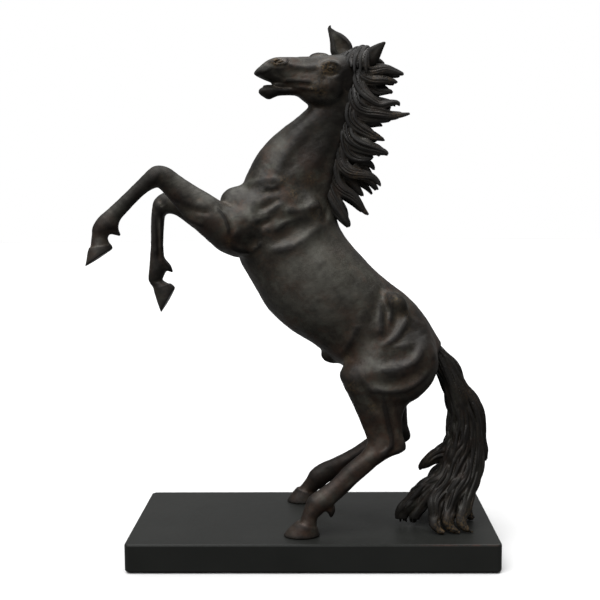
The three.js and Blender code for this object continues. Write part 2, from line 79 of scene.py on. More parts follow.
SKULL = [
    (54, 467, 34, 446, 10), (47, 476, 22, 433, 14), (38, 480.5, 12, 429.5, 17),
    (27, 480.8, 4, 431, 18.5, 0, -0.1), (16, 480, -3, 435, 18, 0, -0.15),
    (5, 479, -9, 439.5, 15.5, 0, -0.15), (-6, 478.2, -15, 443.5, 13, 0, -0.1),
    (-15, 477.6, -21, 447, 11.5, 0, -0.1), (-24, 477.4, -27, 451, 11),
    (-33, 476.6, -34, 452.8, 11.5, 0, 0.05), (-40.5, 473.3, -41.5, 455.8, 11.5),
    (-47, 468, -48, 458.6, 9.5), (-50.4, 464.6, -51.2, 460.9, 6),
]

JAW = [
    (4, 455, 0, 439.5, 11), (-10, 452, -12, 441.6, 9.5), (-20, 450.4, -20, 442, 8),
    (-30, 450, -30, 441.2, 7.2), (-38, 451.2, -38, 438, 8),
    (-43.5, 449.6, -43.5, 440.4, 7.5), (-47, 447.6, -47.2, 443.4, 4.5),
]

LEFT_FORELEG = [
    (-40, 338, -44, 301, 14, -20), (-58, 336, -64, 291.5, 21, -27),
    (-75, 338, -86, 298, 20, -32), (-90, 347.5, -104, 314, 17, -35),
    (-101, 354.2, -117, 327.3, 13.5, -36), (-112, 361, -126, 338.3, 11.5, -37),
    (-122, 368, -134, 348.5, 9.8, -38), (-131, 374.5, -141, 356, 10, -39),
    (-139, 377, -145, 355.8, 10.8, -40), (-147, 375.5, -149, 354, 10.2, -40),
    (-155, 368.5, -153, 351.5, 8, -40), (-166, 358, -160, 345.5, 6.8, -40),
    (-180, 345, -170, 335.5, 6.5, -40), (-191, 335.5, -178, 326.5, 7.2, -40),
    (-199, 328.5, -181, 318.5, 9, -40), (-204, 320, -187, 314.5, 8.2, -40),
    (-205, 312.5, -190, 310.5, 7.3, -40), (-206, 305, -189, 306, 8.2, -40),
    (-207.5, 299, -187, 303, 9.2, -40), (-208, 293, -188, 301, 8, -40),
]

RIGHT_FORELEG = [
    (-40, 338, -44, 296, 14, 20), (-58, 339, -66, 286, 21, 27),
    (-78, 340, -90, 292, 20, 31), (-94, 341, -108, 307, 17, 33),
    (-110, 344, -123, 319.5, 13.5, 34), (-124, 348.5, -134, 327.5, 11, 35),
    (-137, 351.5, -141, 330.5, 10.2, 36), (-149, 351.5, -146, 330, 10.8, 36),
    (-158, 344.5, -148, 327, 10, 36), (-160.5, 336, -148.5, 322, 8, 36),
    (-162, 322, -149.5, 312, 6.8, 36), (-162.5, 303, -150, 300, 6.5, 36),
    (-163.5, 290, -149.5, 289, 7.2, 36), (-165, 275, -147, 277, 9, 36),
    (-166, 265, -150, 268, 8.2, 36), (-164.5, 260.5, -151.5, 264, 7.3, 36),
    (-162, 257, -148.5, 261.5, 8.2, 36), (-160, 253.5, -144, 259, 9.2, 36),
    (-157, 248, -144, 256, 8, 36),
]

LEFT_HIND_LEG = [
    (72, 238, 108, 222, 9, -18), (52, 214, 118, 203, 20, -24),
    (36, 194, 121, 187, 25, -28), (27, 179, 115, 170, 26, -31),
    (30, 168, 103, 157, 22.5, -33), (36, 156, 92, 150, 17.5, -35),
    (42, 143, 87, 141, 14, -37), (47, 131, 86, 130, 11.5, -38),
    (51, 121, 87, 118.5, 10.5, -39), (52.5, 114, 89, 110, 10.3, -40),
    (50, 108, 86.5, 105, 10.3, -41), (46.5, 103.5, 74, 99.6, 9.8, -42),
    (40.5, 99, 60, 91, 8.8, -43.5), (31.5, 92, 46.5, 79.5, 7.6, -46),
    (19.5, 80.3, 34, 68, 7.4, -49), (8, 72, 25.5, 61.5, 8, -52),
    (-3, 64.5, 19.5, 56.5, 9, -54),
    (-7, 56, 11, 50.5, 8.3, -55), (-10, 48, 5, 44.5, 7.8, -56),
    (-12, 43, 4, 38.5, 8.6, -57), (-15, 41, 4, 37, 9.4, -57), (-16, 37, 4, 34, 9, -57),
]

RIGHT_HIND_LEG = [
    (76, 240, 110, 224, 9, 18), (56, 216, 120, 204, 20, 24),
    (40, 196, 122, 187, 25, 28), (32, 181, 117, 170, 26, 31),
    (38, 168, 108, 157, 22.5, 33), (46, 155, 100, 149, 17.5, 35),
    (53, 141, 97, 138, 14, 36), (58, 128, 97, 126, 11.5, 37),
    (62, 116, 98, 112, 10.5, 38), (64, 108, 101, 101, 10.3, 39),
    (62, 101, 97, 94.5, 10.3, 39.5), (57, 97.5, 84, 89, 9.8, 40),
    (48, 91, 67.5, 77.5, 8.6, 41), (36, 83.5, 51.5, 68, 7.6, 43),
    (22, 76, 35.5, 59.5, 7.4, 45), (8, 69, 22, 52.5, 8, 47),
    (-2, 61.5, 13.5, 47, 9, 48), (-7, 53, 7.5, 42.5, 8.3, 49),
    (-11, 47, 3.5, 38.5, 7.8, 49.5), (-14, 43.5, 2.5, 36.5, 8.6, 50),
    (-17, 40.5, 3, 35.5, 9.4, 50), (-17, 37, 3, 33, 9, 50),
]

# Hooves: toe side first, from the coronet to the sole.
HOOVES = {
    "left_foreleg": [
        (-207.8, 301, -187, 303.5, 9.6, -40), (-209.2, 297, -186.5, 302.5, 10.6, -40),
        (-210.6, 290, -186, 301.3, 11.6, -40), (-212, 283.5, -185.8, 300.2, 12.4, -40),
    ],
    "right_foreleg": [
        (-161, 255.5, -143.5, 260, 9.6, 36), (-160, 250, -141.5, 258.5, 10.6, 36),
        (-157, 240, -140, 257, 11.6, 36), (-153.7, 230.6, -139.2, 255.5, 12.4, 36),
    ],
    "left_hind_leg": [
        (-14.5, 41.5, 4.5, 36.8, 9.6, -57), (-17.5, 39.8, 5.2, 35, 10.4, -57),
        (-23.5, 34, 6.2, 31.5, 11.6, -57), (-27.8, 28.3, 7, 28.3, 12.8, -57),
    ],
    "right_hind_leg": [
        (-17.5, 42.5, 3, 36.5, 9.6, 50), (-20, 39.5, 3.6, 34.8, 10.4, 50),
        (-24.5, 34, 4.4, 31.5, 11.6, 50), (-27.8, 28.3, 5, 28.3, 12.8, 50),
    ],
}

LEGS = {
    "left_foreleg": LEFT_FORELEG,
    "right_foreleg": RIGHT_FORELEG,
    "left_hind_leg": LEFT_HIND_LEG,
    "right_hind_leg": RIGHT_HIND_LEG,
}

# Tufts at the back of the fetlocks: x, y, z, radius.
TUFTS = {
    "left_foreleg": [(-192, -40, 323, 5), (-184, -40, 317, 4), (-178.3, -40, 312.5, 0.9)],
    "right_foreleg": [(-155, 36, 282, 5), (-147, 36, 277, 4), (-141.3, 36, 271.8, 0.9)],
    "left_hind_leg": [(14, -54, 58, 5.5), (17.5, -54, 51, 4), (17.5, -54, 44.6, 0.9)],
    "right_hind_leg": [(5.5, 49, 48.5, 5.5), (9, 49, 44.5, 4), (10, 49, 39.4, 0.9)],
}

# Flat seams between castings: a point x, z and the direction in degrees from +X towards +Z.
SEAMS = {
    "head": ((21, 438), 111),
    "neck": ((-18, 366), 96),
    "left_foreleg": ((-93, 334), 155),
    "right_foreleg": ((-98, 325), 160),
    "left_hind_leg": ((66, 156), 250),
    "right_hind_leg": ((74, 156), 250),
}
# Each side of a seam stands back by this much.
SEAM_GAP = 0.03

# The head is laid out straight, then turned to the left about the vertical through the poll.
POLL_X = 40
HEAD_TURN = math.radians(15)

# ------------------------------------------------------------------ curves and meshes


def spline(rows, per):
    """Points along a smooth curve through the rows, per of them to a row."""
    p = np.asarray(rows, float)
    p = np.vstack([2 * p[0] - p[1], p, 2 * p[-1] - p[-2]])
    out = []
    for i in range(1, len(p) - 2):
        a, b, c, d = p[i - 1:i + 3]
        for t in np.arange(per) / per:
            out.append(0.5 * (2 * b + (c - a) * t + (2 * a - 5 * b + 4 * c - d) * t * t
                              + (3 * b - a - 3 * c + d) * t ** 3))
    out.append(p[-2])
    return np.array(out)


def close_rings(rings):
    """A closed body over rings (n, around, 3): its points, quads and end triangles."""
    n, around = rings.shape[:2]
    index = np.arange(n * around).reshape(n, around)
    nxt = np.roll(index, -1, axis=1)
    quads = np.stack([index[:-1], nxt[:-1], nxt[1:], index[1:]], -1).reshape(-1, 4)
    points = np.vstack([rings.reshape(-1, 3), rings[0].mean(0), rings[-1].mean(0)])
    hub = n * around
    first = np.stack([np.full(around, hub), nxt[0], index[0]], -1)
    last = np.stack([np.full(around, hub + 1), index[-1], nxt[-1]], -1)
    return points, quads, np.vstack([first, last])


def loft(rows, per=8, around=56, turned=False):
    """A closed body through the oval sections of a table."""
    r = spline([row + (0,) * (7 - len(row)) for row in rows], per)
    turn = np.linspace(0, 2 * math.pi, around, endpoint=False)
    c, s = np.cos(turn), np.sin(turn)
    middle = (r[:, 0:2] + r[:, 2:4]) / 2
    reach = (r[:, 0:2] - r[:, 2:4]) / 2
    x = middle[:, 0, None] + reach[:, 0, None] * c
    z = middle[:, 1, None] + reach[:, 1, None] * c
    y = r[:, 5, None] + r[:, 4, None] * s * (1 + r[:, 6, None] * c)
    points, quads, ends = close_rings(np.stack([x, y, z], -1))
    return (turn_head(points) if turned else points), quads, ends


def turn_head(points, back=False):
    """Turns points about the vertical through the poll, as the head turns to the left."""
    stretch = 1 / math.cos(HEAD_TURN)
    angle = -HEAD_TURN if back else HEAD_TURN
    c, s = math.cos(angle), math.sin(angle)
    out = np.array(points, float)
    dx, dy = out[:, 0] - POLL_X, out[:, 1].copy()
    if not back:
        dx = dx * stretch
    out[:, 0] = POLL_X + (c * dx - s * dy) / (stretch if back else 1)
    out[:, 1] = s * dx + c * dy
    return out


def strand(points, ridges=0, depth=0.0, flat=1.0, per=10, around=40):
    """A tapering lock along x, y, z, radius, with ridges that run along it."""
    p = spline(points, per)
    path = p[:, :3]
    radius = np.maximum(p[:, 3], 0.35)
    along = np.gradient(path, axis=0)
    along /= np.linalg.norm(along, axis=1)[:, None]
    side = np.array([0.0, 1.0, 0.0])
    across = []
    for t in along:
        side = side - t * side.dot(t)
        side /= np.linalg.norm(side)
        across.append(side)
    across = np.array(across)
    up = np.cross(along, across)
    turn = np.linspace(0, 2 * math.pi, around, endpoint=False)
    wave = np.ones((len(p), around))
    if ridges:
        wave += depth * (np.abs(np.cos(ridges * turn / 2)) - 0.6)
    ring = radius[:, None, None] * wave[:, :, None] * (
        flat * np.cos(turn)[None, :, None] * across[:, None]
        + np.sin(turn)[None, :, None] * up[:, None])
    return close_rings(path[:, None] + ring)


def ball(centre, radii, turned=False, tilt=0.0):
    """An ellipsoid, tilted in the XZ plane by tilt degrees."""
    n, m = 14, 28
    polar = np.linspace(0.02, math.pi - 0.02, n)
    turn = np.linspace(0, 2 * math.pi, m, endpoint=False)
    x = np.cos(polar)[:, None] * np.ones(m) * radii[0]
    y = np.sin(polar)[:, None] * np.cos(turn) * radii[1]
    z = np.sin(polar)[:, None] * np.sin(turn) * radii[2]
    c, s = math.cos(math.radians(tilt)), math.sin(math.radians(tilt))
    rings = np.stack([c * x - s * z, y, s * x + c * z], -1) + np.array(centre)
    points, quads, ends = close_rings(rings)
    return (turn_head(points) if turned else points), quads, ends


# ------------------------------------------------------------------ distance fields

# How far from its surface a body is measured; hair needs less, as its locks hardly melt.
FAR = 9.0
HAIR_REACH = 3.6


def melted(a, b, melt):
    """The lesser of two distances, rounded over where they are nearly the same."""
    if melt <= 0:
        return np.minimum(a, b)
    h = np.clip(0.5 + 0.5 * (a - b) / melt, 0, 1)
    return a * (1 - h) + b * h - melt * h * (1 - h)


class Field:
    """A distance field on a grid over a box, in millimetres."""

    def __init__(self, low, high, step, reach=FAR):
        self.step = step
        self.reach = reach
        self.low = np.floor(np.array(low) / step).astype(int)
        self.size = np.ceil(np.array(high) / step).astype(int) - self.low
        self.value = np.full(tuple(self.size), reach, np.float32)

    def _distance(self, body):
        """The body's own distance on the part of the grid that it reaches, and that part."""
        points, quads, ends = body
        margin = self.reach / self.step + 2
        low = np.maximum(np.floor(points.min(0) / self.step - margin).astype(int), self.low)
        high = np.minimum(np.ceil(points.max(0) / self.step + margin).astype(int),
                          self.low + self.size)
        if (high - low).min() <= 1:
            return None, None
        grid = openvdb.FloatGrid.createLevelSetFromPolygons(
            points.astype(np.float32), triangles=ends.astype(np.uint32),
            quads=quads.astype(np.uint32),
            transform=openvdb.createLinearTransform(voxelSize=self.step),
            halfWidth=self.reach / self.step)
        value = np.zeros(tuple(high - low), np.float32)
        grid.copyToArray(value, ijk=tuple(int(v) for v in low))
        a, b = low - self.low, high - self.low
        return value, (slice(a[0], b[0]), slice(a[1], b[1]), slice(a[2], b[2]))

    def add(self, body, melt=0.0):
        """Joins a body on, melted in over about melt millimetres."""
        new, where = self._distance(body)
        if new is not None:
            self.value[where] = melted(self.value[where], new, melt)

    def cut(self, body, melt):
        """Cuts a body away, with its rim rounded over about melt millimetres."""
        new, where = self._distance(body)
        if new is not None:
            self.value[where] = -melted(-self.value[where], new, melt)

    def keep_above(self, z):
        """Cuts away everything below a level."""
        heights = (np.arange(self.size[2]) + self.low[2]) * self.step
        self.value = np.maximum(self.value, (z - heights).astype(np.float32))

    def mesh(self):
        """The surface where the distance is 0: points and quads that face out."""
        grid = openvdb.FloatGrid(self.reach)
        grid.transform = openvdb.createLinearTransform(voxelSize=self.step)
        grid.copyFromArray(self.value, ijk=tuple(int(v) for v in self.low))
        points, quads = grid.convertToQuads(0.0)
        return points.astype(float), quads[:, ::-1].astype(np.int64)


class Neighbours:
    """Which points of a mesh of quads share an edge."""

    def __init__(self, quads, count):
        edges = np.vstack([quads[:, [i, (i + 1) % 4]] for i in range(4)])
        edges = np.vstack([edges, edges[:, ::-1]])
        self.start, self.end = edges[:, 0], edges[:, 1]
        self.number = np.maximum(np.bincount(self.start, minlength=count), 1)

    def mean(self, value):
        """The mean of a value, or of each of three, over every point's neighbours."""
        if value.ndim == 2:
            return np.stack([self.mean(value[:, k]) for k in range(3)], -1)
        return np.bincount(self.start, value[self.end], len(value)) / self.number


def relax(points, quads, times, pull=0.5):
    """Evens a mesh out: each point moves towards the middle of its neighbours, then back out."""
    near = Neighbours(quads, len(points))
    for step in range(2 * times):
        strength = pull if step % 2 == 0 else -pull * 1.03
        points = points + strength * (near.mean(points) - points)
    return points


def normals(points, quads):
    """The unit normal at each point."""
    d1 = points[quads[:, 2]] - points[quads[:, 0]]
    d2 = points[quads[:, 3]] - points[quads[:, 1]]
    face = np.cross(d1, d2)
    total = np.zeros_like(points)
    for i in range(4):
        for k in range(3):
            total[:, k] += np.bincount(quads[:, i], face[:, k], len(points))
    return total / np.maximum(np.linalg.norm(total, axis=1), 1e-9)[:, None]


# Fully sunk and fully proud are this far apart.
SUNK_RANGE = 2.0


def hollows(points, quads, step, reach=3.4):
    """How sunk each point is against the surface around it: 0 proud, 0.5 even, 1 sunk."""
    smooth = points
    near = Neighbours(quads, len(points))
    for _ in range(max(3, round(1.4 * (reach / step) ** 2))):
        smooth = near.mean(smooth)
    depth = ((smooth - points) * normals(points, quads)).sum(1)
    return np.clip(0.5 + depth / SUNK_RANGE, 0, 1)


# ------------------------------------------------------------------ modelled relief

# A line of relief: points x, z; height in mm (sunk if negative); half width in mm; and the side
# if it is on one only: L the left, R the right. Lines are laid on the flank of that side.
BODY_LINES = [
    # shoulder and neck
    ([(-63, 358.5), (-50, 361), (-38, 362.5), (-28, 362)], -1.3, 3.2),
    ([(-42, 357), (-34, 356), (-28, 360)], -0.7, 2.4),
    ([(-9, 352)], 2.2, 12),
    ([(1, 350)], 1.6, 9),
    ([(-44, 350), (-30, 353.5)], 1.2, 4),
    ([(-46, 335), (-38, 339), (-29, 346)], 1.5, 3.6),
    ([(-48, 330), (-38, 334), (-27, 340)], -0.9, 3),
    ([(-47, 320.5), (-40, 324.5), (-32, 329)], 1.2, 2.2),
    ([(-46, 343), (-37, 347)], -0.5, 2.8),
    ([(-52, 345), (-54, 334), (-51, 322)], -1.0, 3.8),
    ([(-52, 324), (-44, 326.8), (-36, 327)], -1.3, 2.6),
    ([(-24, 333), (-8, 333.5), (6, 339)], -2.2, 4.5),
    ([(5, 338)], -1.4, 5),
    ([(-31, 306), (-20, 314), (-8, 322)], 1.4, 5.2),
    ([(-34, 314), (-24, 320.5)], -1.1, 2.4),
    ([(-61, 326), (-59, 313), (-57, 305)], 1.2, 5),
    ([(14, 326), (17, 338), (16, 350)], 1.2, 2.6),
    ([(9.5, 324), (12, 338)], -1.1, 2.6),
    ([(-73.5, 353)], 1.0, 6),
    # ribs and barrel
    ([(17, 302)], 1.2, 12),
    ([(-30, 290), (-20, 262), (-8, 240)], 0.6, 8),
    ([(-8, 300), (2, 272), (14, 250)], 0.6, 8),
    ([(8, 292), (18, 268), (30, 250)], -0.8, 7),
    # hip
    ([(66, 255), (69, 247), (71, 238), (71, 223)], 1.5, 3.2),
    ([(77, 257), (81, 247), (82, 239), (79, 228), (75, 220)], 1.6, 3.8),
    ([(75, 250), (76, 240), (75, 229)], -0.9, 2),
    ([(66, 247), (66, 232), (66, 216)], -1.5, 3.4),
    ([(50, 211)], 1.2, 6.5),
    ([(58.5, 215)], 0.9, 6),
    ([(60, 262), (52, 246), (46, 230), (43, 220)], -1.1, 6),
    ([(108, 216), (113, 205), (118, 193)], -1.3, 5),
    # thigh bands
    ([(64, 193.5), (78, 197), (90, 200.5), (97, 209), (96, 217)], 1.4, 5.6),
    ([(76, 206.5), (90, 207.5)], -0.9, 2.6),
    ([(87, 215)], 0.9, 7),
    ([(64, 184), (80, 182), (94, 185), (103, 193.5)], -1.1, 3.8),
    ([(46, 176), (60, 176), (75, 174.5), (88, 178), (98, 184), (107, 192)], 1.4, 5),
    ([(45, 173), (52, 162), (58, 152), (63, 143)], 1.8, 3.8),
    ([(67, 161), (69, 148), (71, 136), (74.5, 122), (74, 112), (68, 105)], -2.6, 2.8),
    ([(76, 152), (78, 136), (80, 123)], 1.5, 2.8),
    ([(88, 142), (86, 130), (87, 119)], 0.9, 2.5),
    # neck
    ([(-46, 366), (-37, 383.5), (-27, 398), (-19, 405)], 1.0, 9),
    ([(-22, 366), (-13, 383.5), (-3, 398), (6, 415)], 1.4, 8),
    ([(-34, 366), (-25, 384), (-15, 399)], -1.0, 4.5),
    ([(1, 370), (14, 391), (24, 412), (30, 428)], -1.8, 7),
    ([(43, 462), (40, 440), (34, 420), (28, 400), (21, 382), (17, 362), (14, 347)], -2.2, 4),
    # forearms and knees
    ([(-72, 320.5), (-80, 322), (-90, 329), (-100, 337), (-110, 346), (-120, 355), (-130, 364)],
     2.2, 2.6, "L"),
    ([(-86, 337), (-98, 347), (-112, 357), (-124, 366)], -0.7, 3, "L"),
    ([(-82, 316), (-96, 325.5), (-112, 337.5), (-128, 349)], -1.3, 2.8, "L"),
    ([(-147.5, 373.5), (-146, 368.5)], 0.9, 2.2, "L"),
    ([(-139, 372.5), (-137, 366.5)], 1.0, 2.4, "L"),
    ([(-151, 364.5), (-145, 364), (-139, 361.5)], -1.2, 1.8, "L"),
    ([(-146, 358), (-142, 356.5)], 0.8, 2.2, "L"),
    ([(-158, 358), (-170, 347), (-183, 335)], -1.0, 1.7, "L"),
    ([(-158, 353), (-168, 342.5), (-178, 332)], 0.8, 1.6, "L"),
    ([(-92, 333), (-108, 335), (-128, 341)], 1.4, 3.5, "R"),
    ([(-98, 321), (-114, 327), (-130, 334)], -1.4, 2.6, "R"),
    ([(-152, 345), (-148, 338)], 1.2, 2.6, "R"),
    ([(-157.5, 330), (-157.5, 308), (-157, 288)], -1.4, 1.9, "R"),
    ([(-153.5, 328), (-153.5, 305), (-153, 286)], 1.3, 1.7, "R"),
    # hocks and cannons
    ([(60, 120), (64, 113), (60, 105)], 1.3, 4, "L"),
    ([(84, 113), (82, 107)], 0.9, 3, "L"),
    ([(76, 122), (77, 110)], -1.6, 2.6, "L"),
    ([(66, 106), (52, 92), (40, 80.5), (30, 71.5), (20, 63)], -1.3, 2, "L"),
    ([(55, 104), (40, 91.5), (25, 79), (10, 68)], 1.3, 3, "L"),
    ([(72, 110), (76, 101), (68, 96)], 1.3, 3, "R"),
    ([(88, 118), (90, 106)], -1.8, 2.6, "R"),
    ([(60, 92), (46, 82), (30, 71)], -0.9, 1.8, "R"),
    ([(58, 85), (42, 75), (28, 64)], 0.8, 1.6, "R"),
]

# Edges, where one muscle overlaps the next: points x, z with the raised muscle on the left hand
# along the way; height; width of the step; how far the rise fades over; depth of the crease; side.
BODY_EDGES = [
    ([(-75, 306), (-67, 300), (-58, 298.5), (-51, 302), (-47, 309)], 2.2, 2.4, 14, 1.6),
    ([(-46, 300), (-32, 300.5), (-20, 303), (-10, 308.5), (0, 315.5), (10, 323), (18, 331)],
     2.6, 4.2, 26, 1.6),
    ([(-49, 314.5), (-40, 318.6), (-30, 323), (-18, 327), (-6, 330), (5, 332)],
     0.9, 3, 9, 1.0),
    ([(-85, 345.5), (-79, 340), (-74, 333), (-70.5, 321)], 1.9, 1.6, 8, 2.6, "L"),
    ([(-133, 369), (-120, 354), (-110, 345), (-100, 336), (-90, 328), (-80, 320.5), (-68, 318)],
     3.4, 1.9, 9, 2.3, "L"),
    ([(-87, 339), (-80, 332), (-75, 322), (-74, 312)], 1.6, 1.5, 8, 1.6, "R"),
    ([(63, 208), (75, 214), (83, 222), (88.5, 232), (89, 243)], 0.9, 2.6, 10, 1.6),
    ([(48, 226), (41, 212), (36, 202), (29, 190)], 1.7, 3.2, 16, 1.1),
    ([(60, 187.5), (75, 188.5), (88, 191), (98, 197.5), (105, 210)], 1.4, 2.6, 12, 1.3),
    ([(48, 168), (62, 168.5), (76, 167.5), (90, 170), (103, 178), (112, 188)],
     1.3, 2.6, 10, 1.3),
]

# Lines and edges on the head, in its own straight frame.
HEAD_LINES = [
    ([(-22, 473), (-8, 471.5), (10, 474.5)], 0.6, 3),
    ([(-26, 470), (-16, 467.6), (-5, 466.5), (6, 468)], -0.8, 2.4),
    ([(-22, 463), (-8, 462), (8, 459.5), (20, 459)], 0.7, 4),
    ([(-30, 454.5), (-20, 454.5), (-10, 454), (-1, 452.5)], -1.3, 1.9),
    ([(-1, 452), (4, 448), (5, 442)], -0.7, 2.2),
    ([(12, 458), (16, 452), (15, 444)], -0.6, 2.6),
    ([(6, 456), (14, 455)], 0.7, 3),
    ([(-20, 449.5), (-8, 447.5), (4, 446)], -1.1, 2.2),
    ([(6, 444), (14, 440), (21, 437)], 1.2, 5),
    ([(9, 472), (15, 474.4), (20, 474), (26, 470)], 0.6, 2.2),
    ([(10.5, 470.4), (16, 471.8), (22, 470)], -0.8, 1.0),
    ([(11.5, 467.8), (16, 469.4), (21, 467.6)], 0.6, 0.8),
    ([(12, 464.2), (16.5, 462.9), (21, 464.4)], 0.5, 0.8),
    ([(9, 460.5), (16, 459.4), (23, 461.5)], 1.0, 1.5),
    ([(-38, 466), (-46, 461.5)], -0.7, 1.3),
    ([(-36, 461), (-29, 458.5), (-25, 454)], 0.9, 1.4),
    ([(-46, 446), (-38, 446.4), (-28, 446.2)], -0.8, 1.1),
    ([(-22, 475.5), (-24, 471.5), (-27, 469)], -0.9, 1.2),
    ([(-38.5, 470), (-36, 467.6), (-30, 467.2), (-25, 468.5)], 0.7, 1.2),
]
HEAD_EDGES = [
    ([(24, 468), (26, 460), (26.5, 450), (24.5, 441), (18, 433)], 0.6, 3.4, 12, 0.8),
]

# Lines fade out towards their ends: the higher, the shorter the fade. A line without a crease
# keeps a share of its height at its very end.
OPEN_END = 5.0
LINE_END = 0.35
# How far the relief is eased out, in square millimetres.
EASING = 2.2
# The head's own relief takes over beyond this plane, and only above this height.
HEAD_PLANE = (21, 0, 438)
HEAD_WAY = (-0.36, 0, 0.93)
HEAD_FOOT = 405
# Nothing reaches below this level, just clear of the top of the plinth.
GROUND = 28.3


def even_out(value, quads, times):
    """Averages a value at each point with its neighbours'."""
    near = Neighbours(quads, len(value))
    for _ in range(times):
        value = (value + near.mean(value)) / 2
    return value


def line_effect(points, lines, side_of):
    """How far out each point moves, from every line and edge on its side."""
    total = np.zeros(len(points))
    xz = points[:, [0, 2]]
    for path, height, half, *more in lines:
        side = more.pop() if more and isinstance(more[-1], str) else None
        fade, crease = more or (half, 0)
        path = spline(path, 6) if len(path) > 1 else np.array(path, float)
        share = side_of if side == "L" else (-side_of if side == "R" else np.abs(side_of))
        reach = 2.6 * max(half * (3 if crease else 1), fade)
        near = np.flatnonzero((share > 0.02) & (np.abs(xz - (path.min(0) + path.max(0)) / 2)
                              < (path.max(0) - path.min(0)) / 2 + reach).all(1))
        if not len(near):
            continue
        q = xz[near]
        best = np.full(len(q), 1e9)
        at = np.zeros(len(q))
        hand = np.ones(len(q))
        if len(path) == 1:
            best = ((q - path[0]) ** 2).sum(1)
            at[:] = 0.5
        for i in range(len(path) - 1):
            a, d = path[i], path[i + 1] - path[i]
            t = np.clip(((q - a) @ d) / max(d @ d, 1e-9), 0, 1)
            dist = ((q - a - t[:, None] * d) ** 2).sum(1)
            closer = dist < best
            best[closer] = dist[closer]
            at[closer] = (i + t[closer]) / (len(path) - 1)
            hand[closer] = (d[0] * (q - a)[closer, 1] - d[1] * (q - a)[closer, 0])
        if crease:
            off = np.sqrt(best) * np.sign(hand)
            profile = height * 0.5 * (1 + np.tanh((off - 0.4 * half) / half)) \
                * np.exp(-(np.maximum(off, 0) / fade) ** 2) \
                - crease * np.exp(-((off + 0.9 * half) / (1.1 * half)) ** 2)
        else:
            profile = height * np.exp(-best / half ** 2)
        least = 0 if crease else LINE_END
        ends = np.clip(np.minimum(at, 1 - at) * OPEN_END + least, 0, 1)
        total[near] += profile * ends * np.minimum(share[near] * 1.6, 1)
    return total


def smooth_noise(points, size, seed):
    """Even noise from -1 to 1, from a few waves in fixed random directions."""
    rng = np.random.default_rng(seed)
    total = np.zeros(len(points))
    for _ in range(9):
        direction = rng.normal(size=3)
        direction /= np.linalg.norm(direction)
        total += np.sin(points @ direction * (2 * math.pi / (size * rng.uniform(0.7, 1.5)))
                        + rng.uniform(0, 6.28))
    return total / 5


# ------------------------------------------------------------------ the horse as fields


def add_horse(field):
    """Trunk, limbs and fetlock tufts, with the swells that the sections don't give."""
    field.add(loft(TRUNK, around=80))
    for name, rows in LEGS.items():
        field.add(loft(rows), melt=7)
    for name in LEGS:
        field.add(strand(TUFTS[name], ridges=5, depth=0.25), melt=2.5)
    # points of the hips and shoulders, shoulder blades, buttocks, breast
    for side in (-1, 1):
        field.add(ball((80, side * 27, 246), (12, 8, 9), tilt=-40), melt=8)
        field.add(ball((-58, side * 24, 330), (16, 13, 20)), melt=9)
        field.add(ball((-14, side * 30, 330), (24, 9, 22), tilt=30), melt=9)
        field.add(ball((96, side * 34, 192), (18, 14, 22), tilt=20), melt=9)
        field.add(ball((-72, side * 12.5, 344.5), (14.5, 14.5, 12), tilt=18), melt=9)
    field.add(ball((18, 0, 190), (9, 6, 6), tilt=-20), melt=6)
    return field


def add_head(field):
    """Skull, jaw, cheeks and brows."""
    field.add(loft(SKULL, turned=True), melt=5)
    field.add(loft(JAW, turned=True), melt=1.5)
    for side in (-1, 1):
        field.add(ball((12, side * 11, 445), (15, 8.5, 13), turned=True), melt=4)
        field.add(ball((16, side * 13, 468.5), (8.5, 4.8, 5.5), turned=True), melt=4)
        field.add(ball((-32, side * 8.5, 468.5), (8, 4.5, 6), turned=True, tilt=-10), melt=2.5)
    field.add(ball((12, 9.5, 477.8), (11, 5.5, 6), turned=True), melt=4)
    return field


# Ears: centre x, y, z and half breadth; they are flatter across.
EAR_RIGHT = [(34, 9, 471, 6.5), (32, 10.5, 480, 9.4), (30.5, 11.5, 488, 11), (27, 12.6, 496, 8.6),
             (21.7, 13.4, 503.5, 4), (19.2, 13.6, 508, 2), (20.2, 13.8, 511, 0.8)]
SCOOP_RIGHT = [(36, 3.6, 476, 3.8), (34, 4.4, 483, 6.8), (31, 5.4, 490, 7.6),
               (26.5, 7.4, 497.5, 5.2), (22, 10, 504, 1.8)]
EAR_LEFT = [(44, -5, 460, 7), (51, -8, 469, 7.6), (56.5, -11.5, 476, 8.2),
            (61.5, -13.5, 481.5, 6.6), (66.5, -14.8, 486.4, 3.8), (71, -15, 490.3, 1)]
SCOOP_LEFT = [(54, -17.5, 473, 2.4), (58.5, -18.4, 479, 3.6), (63, -18.6, 483.8, 2.8),
              (68, -17.6, 488.2, 0.9)]


def detail_head(field):
    """Ears, eyes, nostrils and mouth, on the finer grid that the head is meshed on."""
    field.add(strand(EAR_RIGHT, flat=0.46), melt=2)
    field.add(strand(EAR_LEFT, flat=0.55), melt=1.6)
    field.cut(strand(SCOOP_RIGHT, flat=0.72), melt=0.9)
    field.cut(strand(SCOOP_LEFT, flat=0.6), melt=0.9)
    for side in (-1, 1):
        field.cut(ball((16, side * 19.2, 466), (4.0, 2.0, 1.6), turned=True, tilt=-18), melt=1.1)
        field.add(ball((16, side * 15.8, 466), (2.8, 3.0, 1.5), turned=True, tilt=-18), melt=0.25)
        field.cut(ball((-30.5, side * 12.6, 472), (5.2, 3.2, 2.2), turned=True, tilt=14), melt=0.6)
        field.add(ball((-30, side * 10.2, 471.6), (3.2, 1.6, 1.1), turned=True, tilt=14), melt=0.5)
    # the hollow of the open mouth and the tongue
    field.add(ball((-25, 0, 451.5), (12, 6.8, 4.5), turned=True), melt=1.0)
    field.cut(ball((-41, 0, 452.9), (7, 12, 1.5), turned=True, tilt=-16), melt=1.0)
    field.add(ball((-35, 0, 450.2), (9, 4, 1.5), turned=True, tilt=0), melt=0.8)
    return field


